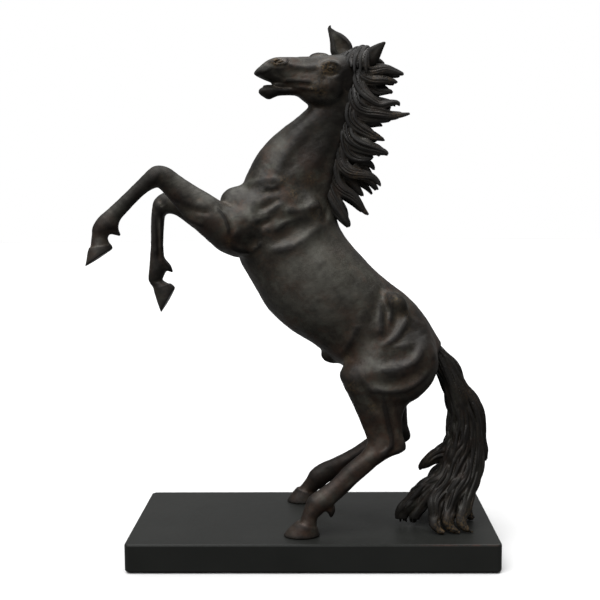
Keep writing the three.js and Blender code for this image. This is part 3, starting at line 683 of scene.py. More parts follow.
# ------------------------------------------------------------------ Blender meshes


def seam_plane(name):
    """A point on a seam, and the direction across it."""
    (x, z), heading = SEAMS[name]
    angle = math.radians(heading)
    return np.array([x, 0, z], float), np.array([math.cos(angle), 0, math.sin(angle)])


def make_mesh(name, points, quads, sunk):
    """A Blender mesh in metres that carries how sunk each point is."""
    mesh = bpy.data.meshes.new(name)
    mesh.vertices.add(len(points))
    mesh.vertices.foreach_set("co", (points * MM).astype(np.float32).ravel())
    mesh.loops.add(quads.size)
    mesh.loops.foreach_set("vertex_index", quads.ravel().astype(np.int32))
    mesh.polygons.add(len(quads))
    mesh.polygons.foreach_set("loop_start", np.arange(0, quads.size, 4, dtype=np.int32))
    mesh.update(calc_edges=True)
    attribute = mesh.attributes.new("sunk", "FLOAT", "POINT")
    attribute.data.foreach_set("value", sunk.astype(np.float32))
    return mesh


def largest_island(bm):
    """Leaves only the connected body with the most faces."""
    bm.faces.ensure_lookup_table()
    seen = set()
    best = []
    for start in bm.faces:
        if start in seen:
            continue
        group, stack = [], [start]
        seen.add(start)
        while stack:
            f = stack.pop()
            group.append(f)
            for e in f.edges:
                for g in e.link_faces:
                    if g not in seen:
                        seen.add(g)
                        stack.append(g)
        if len(group) > len(best):
            best = group
    keep = set(best)
    bmesh.ops.delete(bm, geom=[f for f in bm.faces if f not in keep], context="FACES")


def slice_off(bm, seam, keep_beyond, inside=None):
    """Cuts at a seam and closes the hole. inside limits the cut to faces in a box."""
    point, direction = seam_plane(seam)
    point = (point + direction * (SEAM_GAP if keep_beyond else -SEAM_GAP)) * MM
    if inside is None:
        faces = list(bm.faces)
    else:
        low, high = Vector(inside[0]) * MM, Vector(inside[1]) * MM
        faces = [f for f in bm.faces
                 if all(low[k] < f.verts[0].co[k] < high[k] for k in range(3))]
    edges = {e for f in faces for e in f.edges}
    verts = {v for f in faces for v in f.verts}
    cut = bmesh.ops.bisect_plane(bm, geom=list(verts) + list(edges) + faces, dist=1e-7,
                                 plane_co=point, plane_no=direction)
    rim = [e for e in cut["geom_cut"] if isinstance(e, bmesh.types.BMEdge)]
    rim_verts = {v for e in rim for v in e.verts}
    sign = -1 if keep_beyond else 1
    plane = Vector(point)
    normal = Vector(direction)
    drop = []
    for f in bm.faces:
        c = f.calc_center_median()
        if inside is not None and not all(low[k] < c[k] < high[k] for k in range(3)):
            continue
        if sign * (c - plane).dot(normal) > 0:
            drop.append(f)
    bmesh.ops.delete(bm, geom=drop, context="FACES")
    rim = [e for e in bm.edges if e.is_boundary and e.verts[0] in rim_verts
           and e.verts[1] in rim_verts]
    bmesh.ops.triangle_fill(bm, edges=rim, use_beauty=True, use_dissolve=False)
    for e in rim:
        e.smooth = False


def finish_piece(name, bm, material, nodes):
    """Makes a bronze piece of a mesh, in place of the CAD nodes named."""
    bmesh.ops.recalc_face_normals(bm, faces=bm.faces)
    mesh = bpy.data.meshes.new(name)
    bm.to_mesh(mesh)
    bm.free()
    mesh.polygons.foreach_set("use_smooth", [True] * len(mesh.polygons))
    obj = bpy.data.objects.new(name, mesh)
    bpy.context.scene.collection.objects.link(obj)
    mesh.materials.append(material)
    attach(obj, "root")
    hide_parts(*nodes)
    return obj


def sculpt(low, high, step, head=False):
    """The horse inside a box: its points and quads after melting, easing and relief."""
    field = add_horse(Field(low, high, step))
    add_head(field)
    if head:
        detail_head(field)
    for rows in HOOVES.values():
        field.add(loft(rows, around=64), melt=0.9)
    field.keep_above(GROUND)
    points, quads = field.mesh()
    points = relax(points, quads, 3)
    facing = -normals(points, quads)[:, 1]
    out = line_effect(points, BODY_LINES + BODY_EDGES, facing)
    straight = turn_head(points, back=True)
    on_head = 1 / (1 + np.exp(-((points - HEAD_PLANE) @ HEAD_WAY)))
    on_head[points[:, 2] < HEAD_FOOT] = 0
    out = out * (1 - on_head)
    out += on_head * line_effect(straight, HEAD_LINES + HEAD_EDGES, facing)
    out = even_out(out, quads, round(EASING / step ** 2) + 1)
    out += 0.13 * smooth_noise(points, 9, SEED) + 0.05 * smooth_noise(points, 4.5, SEED + 1)
    points = points + normals(points, quads) * out[:, None]
    points[:, 2] = np.maximum(points[:, 2], GROUND)
    return relax(points, quads, 1), quads


# ------------------------------------------------------------------ hair

# The solid mass under the mane's locks, from the poll to the withers; rows as in the tables above.
MANE_BODY = [
    (50, 478, 60, 476, 5, -1), (49, 467, 59, 465, 8), (46, 452, 57, 449, 9.5),
    (43, 437, 56, 434, 10), (39, 420, 53, 417, 10), (34, 404, 49, 401, 10),
    (29, 390, 45, 386, 10), (24.5, 375, 41, 371, 10), (21, 359, 35.5, 356, 9.5),
    (19, 346, 31, 343, 8.5, -1), (19, 336, 28, 332, 6.5, -4), (22, 327, 28, 323, 4, -8),
]

# Locks: centre x, y, z and radius, from the root to the tip.
MANE_LOCKS = [
    [(48, -4, 475, 6), (57, -6, 474.5, 5), (65, -6, 473.5, 3.2), (71.5, -6, 470.5, 1)],
    [(47, -6, 474, 6), (51, -9, 467.5, 6.5), (59, -9, 465.2, 6), (70, -9, 465.5, 5.4),
     (81, -8, 463.4, 3.8), (90, -8, 461, 1.6)],
    [(46, -7, 468, 5.5), (49, -11, 459, 6), (58, -11, 456, 5.4), (70, -10, 457, 4.6),
     (78, -9, 455.4, 3), (83.5, -9, 453.2, 1.2)],
    [(45, -8, 468, 5), (45, -12, 455, 6), (49, -13, 444, 6.5), (57, -14, 437, 5.6),
     (66, -13, 433, 4.6), (75, -12, 434.2, 3.8), (82, -12, 434.4, 2.8),
     (85.5, -12, 431.5, 1.2)],
    [(43, -9, 458, 5), (42.5, -12, 444, 6), (46, -14, 433, 6.8), (54, -14, 427, 6),
     (66, -12, 424.6, 5.6), (78, -10, 423.4, 4), (88, -10, 423.6, 2.6),
     (95.5, -9, 424.6, 1.2)],
    [(42, -9, 448, 5), (40.5, -12, 433, 6), (46, -12, 423.5, 5.6), (58, -11, 419, 4),
     (69, -10, 418.6, 3), (77.5, -9, 417.4, 1)],
    [(41, -9, 446, 5), (39, -12, 431, 6.5), (40, -14, 419, 7), (47, -14, 410, 6.6),
     (57, -12, 404.2, 5.4), (65, -11, 402.2, 3.4), (72, -10, 399.4, 1)],
    [(38, -9, 434, 5), (35, -12, 417, 6.5), (37, -14, 404, 7.5), (45, -14, 396, 7.5),
     (55, -13, 391.5, 6.8), (64, -11, 390.4, 5), (71, -10, 388.5, 3.6), (74.5, -10, 385, 1.4)],
    [(34, -9, 420, 5), (31, -12, 403, 6.5), (35, -13, 391, 7), (43, -13, 384, 5.8),
     (53, -12, 382, 4), (61, -11, 384.5, 1.4)],
    [(31, -9, 411, 5), (27, -12, 394, 6.5), (29, -13, 381, 7), (36, -14, 372, 6.6),
     (47, -12, 367.5, 5.6), (58, -11, 365, 4.2), (64, -10, 361, 3),
     (67.6, -10, 355.5, 1.2)],
    [(40, -11, 376, 4.5), (48, -10, 367, 4), (56, -9, 362.5, 3.4), (61, -8, 357.5, 2.3),
     (65, -7, 352, 0.9)],
    [(27, -9, 396, 5), (22, -12, 379, 6.5), (23.5, -13, 365, 7), (30, -13, 354.5, 6.5),
     (39, -11, 346.5, 5.6), (46, -10, 339, 4.6), (51.5, -9, 333, 3),
     (55.8, -8, 328.4, 1.2)],
    [(23, -9, 382, 4.5), (18, -12, 364, 5.5), (19.5, -14, 349, 6), (24.5, -15, 338, 6.5),
     (30.5, -14, 329, 6), (34.4, -13, 321.5, 4.6), (35.4, -13, 316.6, 2.4)],
]

# Further rows of the same locks: how far across, as a share of the first row's; how long; how far
# up the crest; and which locks.
MANE_ROWS = [
    (0, 0.93, 0, slice(None)), (-0.9, 0.88, 0, slice(None)),
    (0.52, 0.8, 6.5, slice(2, -1)), (-0.48, 0.84, -6, slice(1, -1)),
]

FORELOCKS = [
    [(54, -2, 483, 3), (46, -5, 485, 3), (41, -8, 482.4, 2.6), (39, -11.5, 476, 2.2),
     (39, -16, 466.5, 0.8)],
    [(55, -3, 483, 3), (50, -7, 486, 3), (46, -10, 482, 2.6), (44.5, -13, 474.5, 2.2),
     (45.5, -16, 466, 0.8)],
    [(56, -4, 483, 3), (54, -9, 486, 3), (51, -12.5, 481.5, 2.6), (50, -15, 474, 2.2),
     (51, -17, 466, 0.8)],
    [(56, -5, 482, 3), (56.5, -11, 484, 2.8), (55, -15, 478.5, 2.4), (54.5, -16.5, 472, 2),
     (56, -17, 465, 0.8)],
    [(52, -1, 483, 3), (43, -2, 484, 2.8), (36, -5, 481, 2.4), (33, -9, 477, 1.8),
     (31, -13, 470, 0.8)],
    [(50, 1, 482, 3), (41, 1, 483, 2.6), (33, -2, 481, 2.2), (28, -6, 478, 1.6),
     (25, -9, 474, 0.8)],
    [(50, -1, 483, 3), (43.5, -5, 484.6, 2.6), (39, -9, 480.5, 2.4), (35.5, -13, 473.5, 2),
     (35, -16, 463, 0.8)],
    [(54, -3, 483, 3), (48, -8, 485, 2.6), (44, -11.5, 480, 2.4), (42, -15, 471.5, 2),
     (42, -17.2, 461, 0.8)],
    [(56, -4, 482, 3), (52.5, -10.5, 484, 2.6), (49, -14, 478.5, 2.4), (47.6, -16.6, 471, 2),
     (47.5, -18, 460.5, 0.8)],
    [(57, -5, 481, 3), (55.5, -12.5, 482, 2.6), (53, -16, 476.5, 2.4), (52.6, -17.6, 469, 2),
     (53, -18, 460, 0.8)],
    [(48, 3, 482, 3), (40, 4, 483, 2.4), (33, 3, 481.5, 2), (26, 1, 480.5, 0.8)],
    [(50, 4, 480, 5), (44, 9, 478, 4), (40, 12, 471, 2.8), (38, 13, 463, 0.9)],
    [(55, 4, 480, 5), (52, 9, 476, 4), (49, 12, 469, 2.8), (47, 13, 460, 0.9)],
]

TAIL_BODY = [
    (114, 188, 121, 209, 7), (121, 176, 130, 193, 8.5), (130, 162, 143, 173, 9.5, -1),
    (135, 147, 153, 155, 10.5, -2), (137, 130, 160, 135, 11, -3),
    (137, 112, 161, 115, 11.5, -4), (133, 98, 158, 98, 11.5, -6),
    (128, 82, 155, 80, 11.5, -8), (124, 65, 151, 62, 11.5, -10),
    (124, 48, 147, 46, 11, -11), (126, 29, 145, 29, 9.5, -11),
]

TAIL_LOCKS = [
    [(117, -2, 197, 5), (125, -4, 190, 6), (133, -6, 172, 7.5), (140, -9, 148, 8.5),
     (142, -12, 126, 9), (138.5, -13, 110, 9), (130, -14, 98.5, 9), (119, -15, 91.5, 7.4),
     (110.5, -16, 87, 5.8), (106.5, -16, 83.6, 4), (104.6, -16, 79, 1.4)],
    [(116, -2, 194, 5), (128, -4, 184, 6), (138, -8, 160, 8), (145, -12, 133, 9),
     (143, -15, 112, 9.5), (138, -18, 94, 9.5), (127, -21, 78, 9), (114, -24, 66, 9),
     (101, -26, 57, 9), (92.5, -27, 48, 8.8), (87, -27, 38, 8.2), (87, -27, 29.5, 7)],
    [(118, -2, 196, 4.5), (128, -5, 178, 5.5), (138, -9, 158, 6.5), (143, -12, 138, 7.5),
     (145, -15, 116, 8.5), (141, -19, 96, 9), (131, -23, 78, 8.5), (118, -27, 64, 8),
     (107, -29, 52, 7.5), (100, -30, 40, 6.5), (97, -30, 29.5, 5)],
    [(117, -2, 196, 5), (132, -4, 181, 6), (142, -8, 154, 8), (149, -12, 128, 8.5),
     (148, -16, 105, 9), (139, -23, 84, 9), (127, -32, 68, 8.5), (118.5, -40, 55, 8),
     (116, -46, 44, 7), (117, -50, 37, 6.2), (120, -54, 31.5, 3.8), (127, -57, 28.6, 1.2)],
    [(118, -1, 198, 5), (128, -2, 189, 5.5), (138, -2, 174, 6), (149, -6, 150, 8),
     (156, -10, 122, 8), (156, -15, 99, 8.5), (149, -24, 78, 9), (138, -34, 62, 8.5),
     (130, -42, 49, 7.4), (129, -48, 40, 6.4), (132, -52, 33, 4.2), (140, -55, 28.8, 1.2)],
    [(118, 1, 199, 5), (128, 1, 192, 5.5), (138, 1, 178, 6), (147, 0, 161, 6.4),
     (156, -4, 137, 7.5), (161, -8, 110, 7.5), (159, -15, 87, 8), (153, -26, 67, 8.5),
     (146, -37, 52, 8), (142, -45, 42, 6.6), (144, -50, 34, 4.4), (153, -54, 28.9, 1.2)],
    [(118, 3, 198, 5), (129, 3, 188, 5), (140, 3, 172, 5.5), (151, 3, 156, 6),
     (161, 1, 138, 7), (166.5, 0, 118, 6.2), (168.3, -2, 103, 5), (169.6, -4, 93, 4),
     (171.6, -5, 83.6, 1.4)],
    [(119, 1, 198, 4), (132, 2, 182, 5), (146, 3, 160, 5.5), (157, 3, 136, 6), (161, 3, 112, 6.5),
     (160, 3, 89, 7.5), (157, 1, 68, 7.2), (154, -4, 52, 6.8), (152, -9, 41, 6),
     (154, -12, 33, 5), (159, -14, 29, 3)],
    [(117, 2, 196, 5), (128, 3, 186, 6), (140, 6, 160, 8), (149, 9, 132, 8.5), (149, 12, 108, 9),
     (144, 16, 84, 9), (134, 20, 62, 8.5), (126, 24, 44, 7.5), (123, 26, 34, 6), (128, 29, 29, 3)],
    [(118, 3, 197, 5), (130, 3, 187, 5.5), (142, 3, 167, 6), (155, 6, 138, 8), (159, 9, 110, 8),
     (156, 13, 84, 8), (150, 17, 61, 8), (145, 21, 43, 6.8), (146, 23, 34, 5), (151, 25, 29, 3)],
    [(116, 1, 192, 5), (128, 2, 178, 6), (139, 5, 150, 7.5), (145, 8, 124, 8), (144, 10, 102, 8),
     (138, 12, 82, 7.5), (128, 13, 66, 7.5), (116, 13, 52, 7), (108, 13, 40, 6),
     (106, 13, 29.5, 4.5)],
    [(118, 3, 194, 5), (128, 4, 174, 6), (140, 5, 148, 7), (144, 7, 122, 8), (142, 10, 96, 9),
     (134, 15, 74, 9), (121, 18, 57, 8), (112, 20, 43, 6.5), (107, 21, 34, 5), (103, 22, 29, 3)],
]


# The length of one wave along a lock, millimetres.
WAVE = 42


def comb(field, locks, seed, melt, count=14, thick=0.17, curl=0.8, sway=1.1, flat=0.7,
         least=0.6):
    """Fills each lock with strands lying side by side that draw together towards its tip."""
    rng = np.random.default_rng(seed)
    for points in locks:
        guide = spline(points, 8)
        share = np.linspace(0, 1, len(guide))[:, None]
        along = np.gradient(guide[:, :3], axis=0)
        along /= np.linalg.norm(along, axis=1)[:, None]
        across = np.array([0, 1.0, 0]) - along * along[:, 1:2]
        across /= np.linalg.norm(across, axis=1)[:, None]
        up = np.cross(along, across)
        wave = sway * guide[:, 3:] / 8 * np.sin(share * math.pi) ** 0.5
        length = np.linalg.norm(np.diff(guide[:, :3], axis=0), axis=1).sum()
        turns = length / WAVE * 2 * math.pi
        guide[:, :3] += wave * (np.sin(share * turns + rng.uniform(0, 6.28)) * up
                                + 0.7 * np.sin(share * turns + rng.uniform(0, 6.28)) * across)
        core = guide[:max(3, round(len(guide) * 0.94))].copy()
        core[:, 3] *= 0.86
        field.add(strand(core, flat=flat * 0.84, per=1), melt=melt)
        twist = rng.uniform(-1.4, 1.4)
        for k in range(count):
            angle = 2 * math.pi * (k + rng.uniform(-0.3, 0.3)) / count + twist * share
            reach = guide[:, 3:] * rng.uniform(0.76, 0.96) * (1 - 0.5 * share ** 3)
            bend = curl * guide[:, 3:] / 8 * np.sin(share * turns * rng.uniform(0.8, 1.5)
                                                    + rng.uniform(0, 6.28))
            path = guide[:, :3] + flat * reach * np.cos(angle + bend / 4) * across \
                + (reach * np.sin(angle + bend / 4) + bend) * up
            size = guide[:, 3:] * thick * rng.uniform(0.75, 1.3)
            stop = int(len(guide) * rng.uniform(0.9, 1.0))
            left = (1 - np.arange(stop) / stop)[:, None]
            size = np.maximum(size[:stop] * np.clip(left * 7, 0, 1) ** 0.6, least)
            field.add(strand(np.hstack([path[:stop], size]), per=2, around=16), melt=melt)


def across_mane(locks, across, shorten, rise):
    """The same locks carried across the mane and up its crest, a little shorter and lower."""
    out = []
    for points in locks:
        p = np.array(points, float)
        root = p[0].copy()
        p[:, [0, 2]] = root[[0, 2]] + (p[:, [0, 2]] - root[[0, 2]]) * shorten
        p[:, 1] *= across
        p[:, 2] -= 2 * np.linspace(0, 1, len(p))
        p[:, [0, 2]] += rise * np.array([0.2, 0.98])
        out.append([tuple(row) for row in p])
    return out


def hair_mesh(field, floor=None):
    """The surface of a field of locks, cut level at the floor where one is given."""
    if floor is not None:
        field.keep_above(floor)
    points, quads = field.mesh()
    points = relax(points, quads, 1)
    if floor is not None:
        points[:, 2] = np.maximum(points[:, 2], floor)
    return points, quads


# ------------------------------------------------------------------ materials


class Nodes:
    """Short calls for building a material's node tree."""

    def __init__(self, name):
        self.material = bpy.data.materials.new(name)
        self.material.use_nodes = True
        self.tree = self.material.node_tree
        self.shader = self.tree.nodes["Principled BSDF"]
        place = self.tree.nodes.new("ShaderNodeTexCoord")
        self.place = place.outputs["Object"]

    def new(self, kind, **inputs):
        """A node with its inputs set or linked."""
        node = self.tree.nodes.new(kind)
        for key, value in inputs.items():
            self.put(node.inputs[key.replace("_", " ")], value)
        return node

    def put(self, socket, value):
        """Links a socket to the value, or sets it."""
        if isinstance(value, bpy.types.NodeSocket):
            self.tree.links.new(value, socket)
        else:
            socket.default_value = value

    def noise(self, scale, detail=4.0, rough=0.55):
        """Noise over the surface, scale cells to a metre."""
        node = self.new("ShaderNodeTexNoise", Vector=self.place, Scale=scale, Detail=detail,
                        Roughness=rough)
        return node.outputs["Fac"]

    def ramp(self, value, stops):
        """A colour or grey for each place along a value."""
        node = self.new("ShaderNodeValToRGB", Fac=value)
        ramp = node.color_ramp
        while len(ramp.elements) < len(stops):
            ramp.elements.new(0.5)
        for element, (place, colour) in zip(ramp.elements, stops):
            element.position = place
            element.color = (*colour, 1) if isinstance(colour, tuple) else (colour,) * 3 + (1,)
        return node.outputs["Color"]

    def mix(self, share, a, b):
        """Colour a, with a share of colour b over it."""
        node = self.tree.nodes.new("ShaderNodeMix")
        node.data_type = "RGBA"
        for index, value in ((0, share), (6, a), (7, b)):
            if isinstance(value, tuple):
                value = (*value, 1)
            self.put(node.inputs[index], value)
        return node.outputs[2]

    def attribute(self, name):
        """A value painted on the mesh's points."""
        node = self.tree.nodes.new("ShaderNodeAttribute")
        node.attribute_name = name
        return node.outputs["Fac"]

    def span(self, value, start, end):
        """0 at the start value and 1 at the end value."""
        node = self.new("ShaderNodeMapRange", Value=value)
        for key, number in (("From Min", start), ("From Max", end)):
            node.inputs[key].default_value = number
        return node.outputs["Result"]

    def times(self, a, b):
        """The product of two values."""
        node = self.new("ShaderNodeMath")
        node.operation = "MULTIPLY"
        self.put(node.inputs[0], a)
        self.put(node.inputs[1], b)
        return node.outputs[0]

    def bump(self, height, distance, strength=1.0, normal=None):
        """A normal bent by a height that spans a distance in metres."""
        node = self.new("ShaderNodeBump", Height=height, Distance=distance, Strength=strength)
        if normal is not None:
            self.put(node.inputs["Normal"], normal)
        return node.outputs["Normal"]


# Colours laid one after another over the patina's cloudy ground: where (a painted attribute, or
# all over), the noise that breaks it up, that noise's two ramp stops, how strong, and the colour.
# The pale layer is partly the patina's own grey-green and partly painted light; the last layer is
# painted shade. The others are the patina's own colours.
PATINA = [
    (None, (60, 8, 0.74), (0.5, 0.0), (0.64, 1.0), 0.75, (0.029, 0.0136, 0.0072)),
    (None, (300, 6, 0.75), (0.38, 0.0), (0.62, 1.0), 0.42, (0.0235, 0.0223, 0.0178)),
    (None, (520, 5, 0.75), (0.56, 0.0), (0.68, 1.0), 0.55, (0.003, 0.0027, 0.0025)),
    ("warm", (95, 7, 0.7), (0.36, 0.15), (0.6, 1.0), 0.8, (0.032, 0.0138, 0.0076)),
    # partly the patina's own pale grey-green, partly painted light on surfaces that face the light
    ("pale", (48, 6, 0.66), (0.34, 0.25), (0.6, 1.0), 0.85, (0.06, 0.058, 0.0495)),
    # painted shade: darkens where shade falls
    ("painted_shade", (40, 6, 0.66), (0.34, 0.6), (0.6, 1.0), 0.95, (0.0034, 0.0026, 0.002)),
]


def bronze_material(name, painted_shade_factor=1.0, gloss=0.16):
    """Near-black patina: grey-green on the high places, brown and black in the hollows. The factor
    given after the name darkens most of the colours: painted shade, for the mane and tail.
    """
    n = Nodes(name)

    def darken_by_painted_shade(*colour):
        return tuple(c * painted_shade_factor for c in colour)

    tone = n.ramp(n.noise(42, 7, 0.68), [(0.39, darken_by_painted_shade(0.0038, 0.0029, 0.0022)),
                                         (0.5, darken_by_painted_shade(0.0135, 0.0112, 0.0084)),
                                         (0.61, darken_by_painted_shade(0.031, 0.0303, 0.0238))])
    for where, noise, low, high, strength, colour in PATINA:
        share = n.ramp(n.noise(*noise), [low, high])
        if where is not None:
            share = n.times(n.attribute(where), share)
        tone = n.mix(n.times(share, strength), tone, darken_by_painted_shade(*colour))
    depth = n.attribute("sunk")
    raised = n.ramp(depth, [(0.3, 1.0), (0.47, 0.0)])
    sunk = n.ramp(depth, [(0.53, 0.0), (0.74, 1.0)])
    patchy = n.ramp(n.noise(75, 6, 0.7), [(0.42, 0.0), (0.62, 1.0)])
    worn = n.mix(n.times(raised, patchy), tone, darken_by_painted_shade(0.029, 0.0225, 0.016))
    deep = n.mix(n.times(sunk, 0.75), worn, (0.0024, 0.0019, 0.0016))
    flecks = n.ramp(n.noise(420, 6, 0.75), [(0.47, 0.0), (0.58, 1.0)])
    stray = n.times(n.ramp(n.noise(34, 4, 0.6), [(0.56, 0.0), (0.72, 0.4)]),
                    n.ramp(n.noise(460, 6, 0.8), [(0.56, 0.0), (0.66, 1.0)]))
    gold = n.times(n.attribute("rub"), flecks)
    leaf = n.mix(n.times(stray, 0.8), deep, (0.06, 0.045, 0.022))
    n.put(n.shader.inputs["Base Color"], n.mix(n.times(gold, 0.8), leaf, (0.085, 0.055, 0.024)))
    satin = n.ramp(n.noise(60, 6, 0.65), [(0.3, 0.36), (0.7, 0.52)])
    n.put(n.shader.inputs["Roughness"], n.mix(sunk, satin, (0.68, 0.68, 0.68)))
    n.shader.inputs["Metallic"].default_value = 0.2
    n.shader.inputs["Specular IOR Level"].default_value = gloss
    wide = n.bump(n.noise(150, 4, 0.6), 0.0006, 0.42)
    n.put(n.shader.inputs["Normal"], n.bump(n.noise(620, 5, 0.65), 0.00022, 0.48, wide))
    return n.material


def paint_material(box):
    """Satin black paint, rubbed to reddish brown along the front top edge near its right end."""
    n = Nodes("black_paint")
    tone = n.ramp(n.noise(14, 5), [(0.3, (0.0064, 0.0068, 0.0061)),
                                   (0.7, (0.0082, 0.0086, 0.0078))])
    apart = n.new("ShaderNodeSeparateXYZ", Vector=n.place)
    front, right, top = box[0][1], box[1][0], box[1][2]
    along = n.span(apart.outputs["X"], right - 0.085, right - 0.04)
    high = n.span(apart.outputs["Z"], top - 0.0016, top - 0.0002)
    near = n.span(apart.outputs["Y"], front + 0.0016, front + 0.0002)
    edge = n.times(n.times(along, high), near)
    chipped = n.times(edge, n.ramp(n.noise(120, 6, 0.7), [(0.42, 0.0), (0.56, 1.0)]))
    n.put(n.shader.inputs["Base Color"], n.mix(chipped, tone, (0.03, 0.0105, 0.006)))
    n.put(n.shader.inputs["Roughness"], n.ramp(n.noise(30, 5), [(0.3, 0.36), (0.7, 0.46)]))
    n.shader.inputs["Specular IOR Level"].default_value = 0.14
    n.put(n.shader.inputs["Normal"], n.bump(n.noise(420, 4), 0.00012, 0.3))
    return n.material


def steel_material():
    """Zinc-plated steel."""
    n = Nodes("zinc_steel")
    tone = n.ramp(n.noise(220, 4), [(0.3, (0.42, 0.43, 0.43)), (0.7, (0.6, 0.61, 0.62))])
    n.put(n.shader.inputs["Base Color"], tone)
    n.put(n.shader.inputs["Roughness"], n.ramp(n.noise(300, 3), [(0.3, 0.28), (0.7, 0.45)]))
    n.shader.inputs["Metallic"].default_value = 1.0
    n.put(n.shader.inputs["Normal"], n.bump(n.noise(1200, 3), 0.00008, 0.3))
    return n.material


def felt_material():
    """Black wool felt with a fine nap."""
    n = Nodes("black_felt")
    tone = n.ramp(n.noise(900, 6, 0.7), [(0.3, (0.008, 0.008, 0.008)), (0.7, (0.03, 0.03, 0.03))])
    n.put(n.shader.inputs["Base Color"], tone)
    n.shader.inputs["Roughness"].default_value = 0.95
    n.shader.inputs["Sheen Weight"].default_value = 0.3
    n.put(n.shader.inputs["Normal"], n.bump(n.noise(1600, 6, 0.8), 0.0004, 0.8))
    return n.material


# ------------------------------------------------------------------ build

BRONZE = bronze_material("bronze_patina")
# The mane and tail take darker copies of the same bronze: painted shade for the shade among their
# locks.
MANE_BRONZE_PAINTED_SHADE = bronze_material("bronze_mane_painted_shade", 0.63, 0.32)
TAIL_BRONZE_PAINTED_SHADE = bronze_material("bronze_tail_painted_shade", 0.32, 0.14)
COARSE = 1.0

# Each casting: the box it is meshed in, the grid step, and the seams it is cut at.
CASTINGS = {
    "head": ((-62, -45, 416), (84, 30, 516), 0.62, [("head", True)]),
    "neck": ((-80, -48, 345), (64, 48, 462), 0.95, [("neck", True), ("head", False)]),
    "left_foreleg": ((-216, -64, 276), (-70, -10, 384), 0.75, [("left_foreleg", True)]),
    "right_foreleg": ((-170, 8, 224), (-70, 60, 360), 0.75, [("right_foreleg", True)]),
    "left_hind_leg": ((-34, -76, 26), (112, -6, 182), 0.85, [("left_hind_leg", True)]),
    "right_hind_leg": ((-34, 6, 26), (118, 70, 182), 0.85, [("right_hind_leg", True)]),
}
TRUNK_BOX = (-112, -66, 136), (134, 66, 380)
TRUNK_STEP = 1.2
MANE_BOX = (8, -30, 306), (100, 26, 496)
MANE_STEP = 0.6
TAIL_BOX = (72, -64, 26), (178, 40, 216)
TAIL_STEP = 0.7
# Where each limb is cut from the trunk.
LIMB_BOXES = {
    "left_foreleg": ((-240, -90, 200), (-60, 0, 420)),
    "right_foreleg": ((-240, 0, 200), (-60, 90, 420)),
    "left_hind_leg": ((-60, -90, 0), (160, 0, 175)),
    "right_hind_leg": ((-60, 0, 0), (160, 90, 175)),
}

# Where the patina is rubbed through: x, z, reach, share.
RUBS = [
    ((-30, 472.5), 5, 0.9), ((14, 468), 6, 0.8), ((20, 465), 5, 0.6), ((38, 168), 5, 0.5),
    ((57, 150), 4, 0.5), ((2, 447), 4, 0.5), ((11, 443), 5, 0.4), ((-16, 350), 5, 0.45),
    ((0, 363), 6, 0.4), ((-25, 363), 5, 0.35), ((80, 250), 5, 0.4), ((90, 236), 6, 0.3),
    ((6, 331), 7, 0.35), ((-76, 306), 4, 0.4), ((33, 195), 5, 0.35), ((10, 454), 8, 0.2),
]
MANE_RUBS = [
    ((62, 403), 6, 0.6), ((83, 425), 7, 0.5), ((60, 462), 10, 0.3), ((44, 366), 8, 0.4),
    ((52, 334), 6, 0.3), ((76, 455), 6, 0.3),
]
TAIL_RUBS = [
    ((152, 36), 9, 0.6), ((123, 34), 7, 0.6), ((157, 50), 7, 0.3), ((155, 160), 12, 0.15),
    ((110, 92), 8, 0.2), ((135, 34), 9, 0.4),
]

# Where the patina is warmer and browner: x, z, reach, share.
WARM = [
    ((20, 78), 34, 0.6), ((62, 110), 26, 0.6), ((78, 134), 20, 0.5), ((-12, 40), 24, 0.5),
    ((-74, 308), 10, 0.9), ((34, 195), 14, 0.7), ((116, 200), 12, 0.8), ((0, 385), 14, 0.7),
    ((-104, 322), 14, 0.7), ((-128, 345), 10, 0.5), ((-195, 318), 14, 0.5), ((-158, 300), 22, 0.5),
    ((-204, 298), 9, 0.5),
    ((52, 215), 12, 0.4), ((96, 180), 14, 0.5), ((-8, 444), 14, 0.5), ((134, 100), 26, 0.2),
    ((60, 430), 24, 0.3), ((40, 360), 20, 0.4), ((-10, 262), 13, 0.5), ((24, 238), 12, 0.5),
    ((-32, 286), 10, 0.5), ((22, 292), 9, 0.4),
]

# Where it is paler and greener: partly the patina's own grey-green, partly painted light on
# surfaces that face the light, such as the forearms' top planes, the barrel and the lips.
PALE_AND_PAINTED_LIGHT = [
    ((16, 314), 22, 0.4), ((-7, 353), 11, 0.3), ((-18, 258), 20, 0.5), ((8, 236), 18, 0.5),
    ((-168, 350), 14, 0.7), ((-186, 334), 13, 0.6), ((-156, 318), 17, 0.6), ((-52, 462), 7, 0.6),
    ((-150, 345), 8, 0.5), ((-204, 297), 9, 0.5), ((-154, 246), 9, 0.5), ((-150, 272), 9, 0.4),
    ((-44, 446), 7, 0.5), ((-146, 372), 7, 0.7), ((-32, 392), 12, 0.4), ((4, 404), 10, 0.4),
    ((38, 262), 14, 0.4), ((50, 216), 9, 0.6), ((70, 240), 8, 0.2), ((-30, 320), 9, 0.15),
    ((-2, 284), 32, 0.9), ((26, 262), 26, 0.6), ((66, 176), 12, 0.25), ((-26, 468), 8, 0.4),
    ((-119, 365), 7, 0.9), ((-107, 356), 8, 0.9), ((-94, 345), 8, 0.9), ((-83, 334), 7, 0.8),
    ((-136, 375), 6, 0.7), ((64, 116), 6, 0.5), ((-196, 308), 4, 0.6), ((-153, 300), 4, 0.4),
    ((64, 487), 8, 0.5), ((22, 495), 8, 0.3),
]
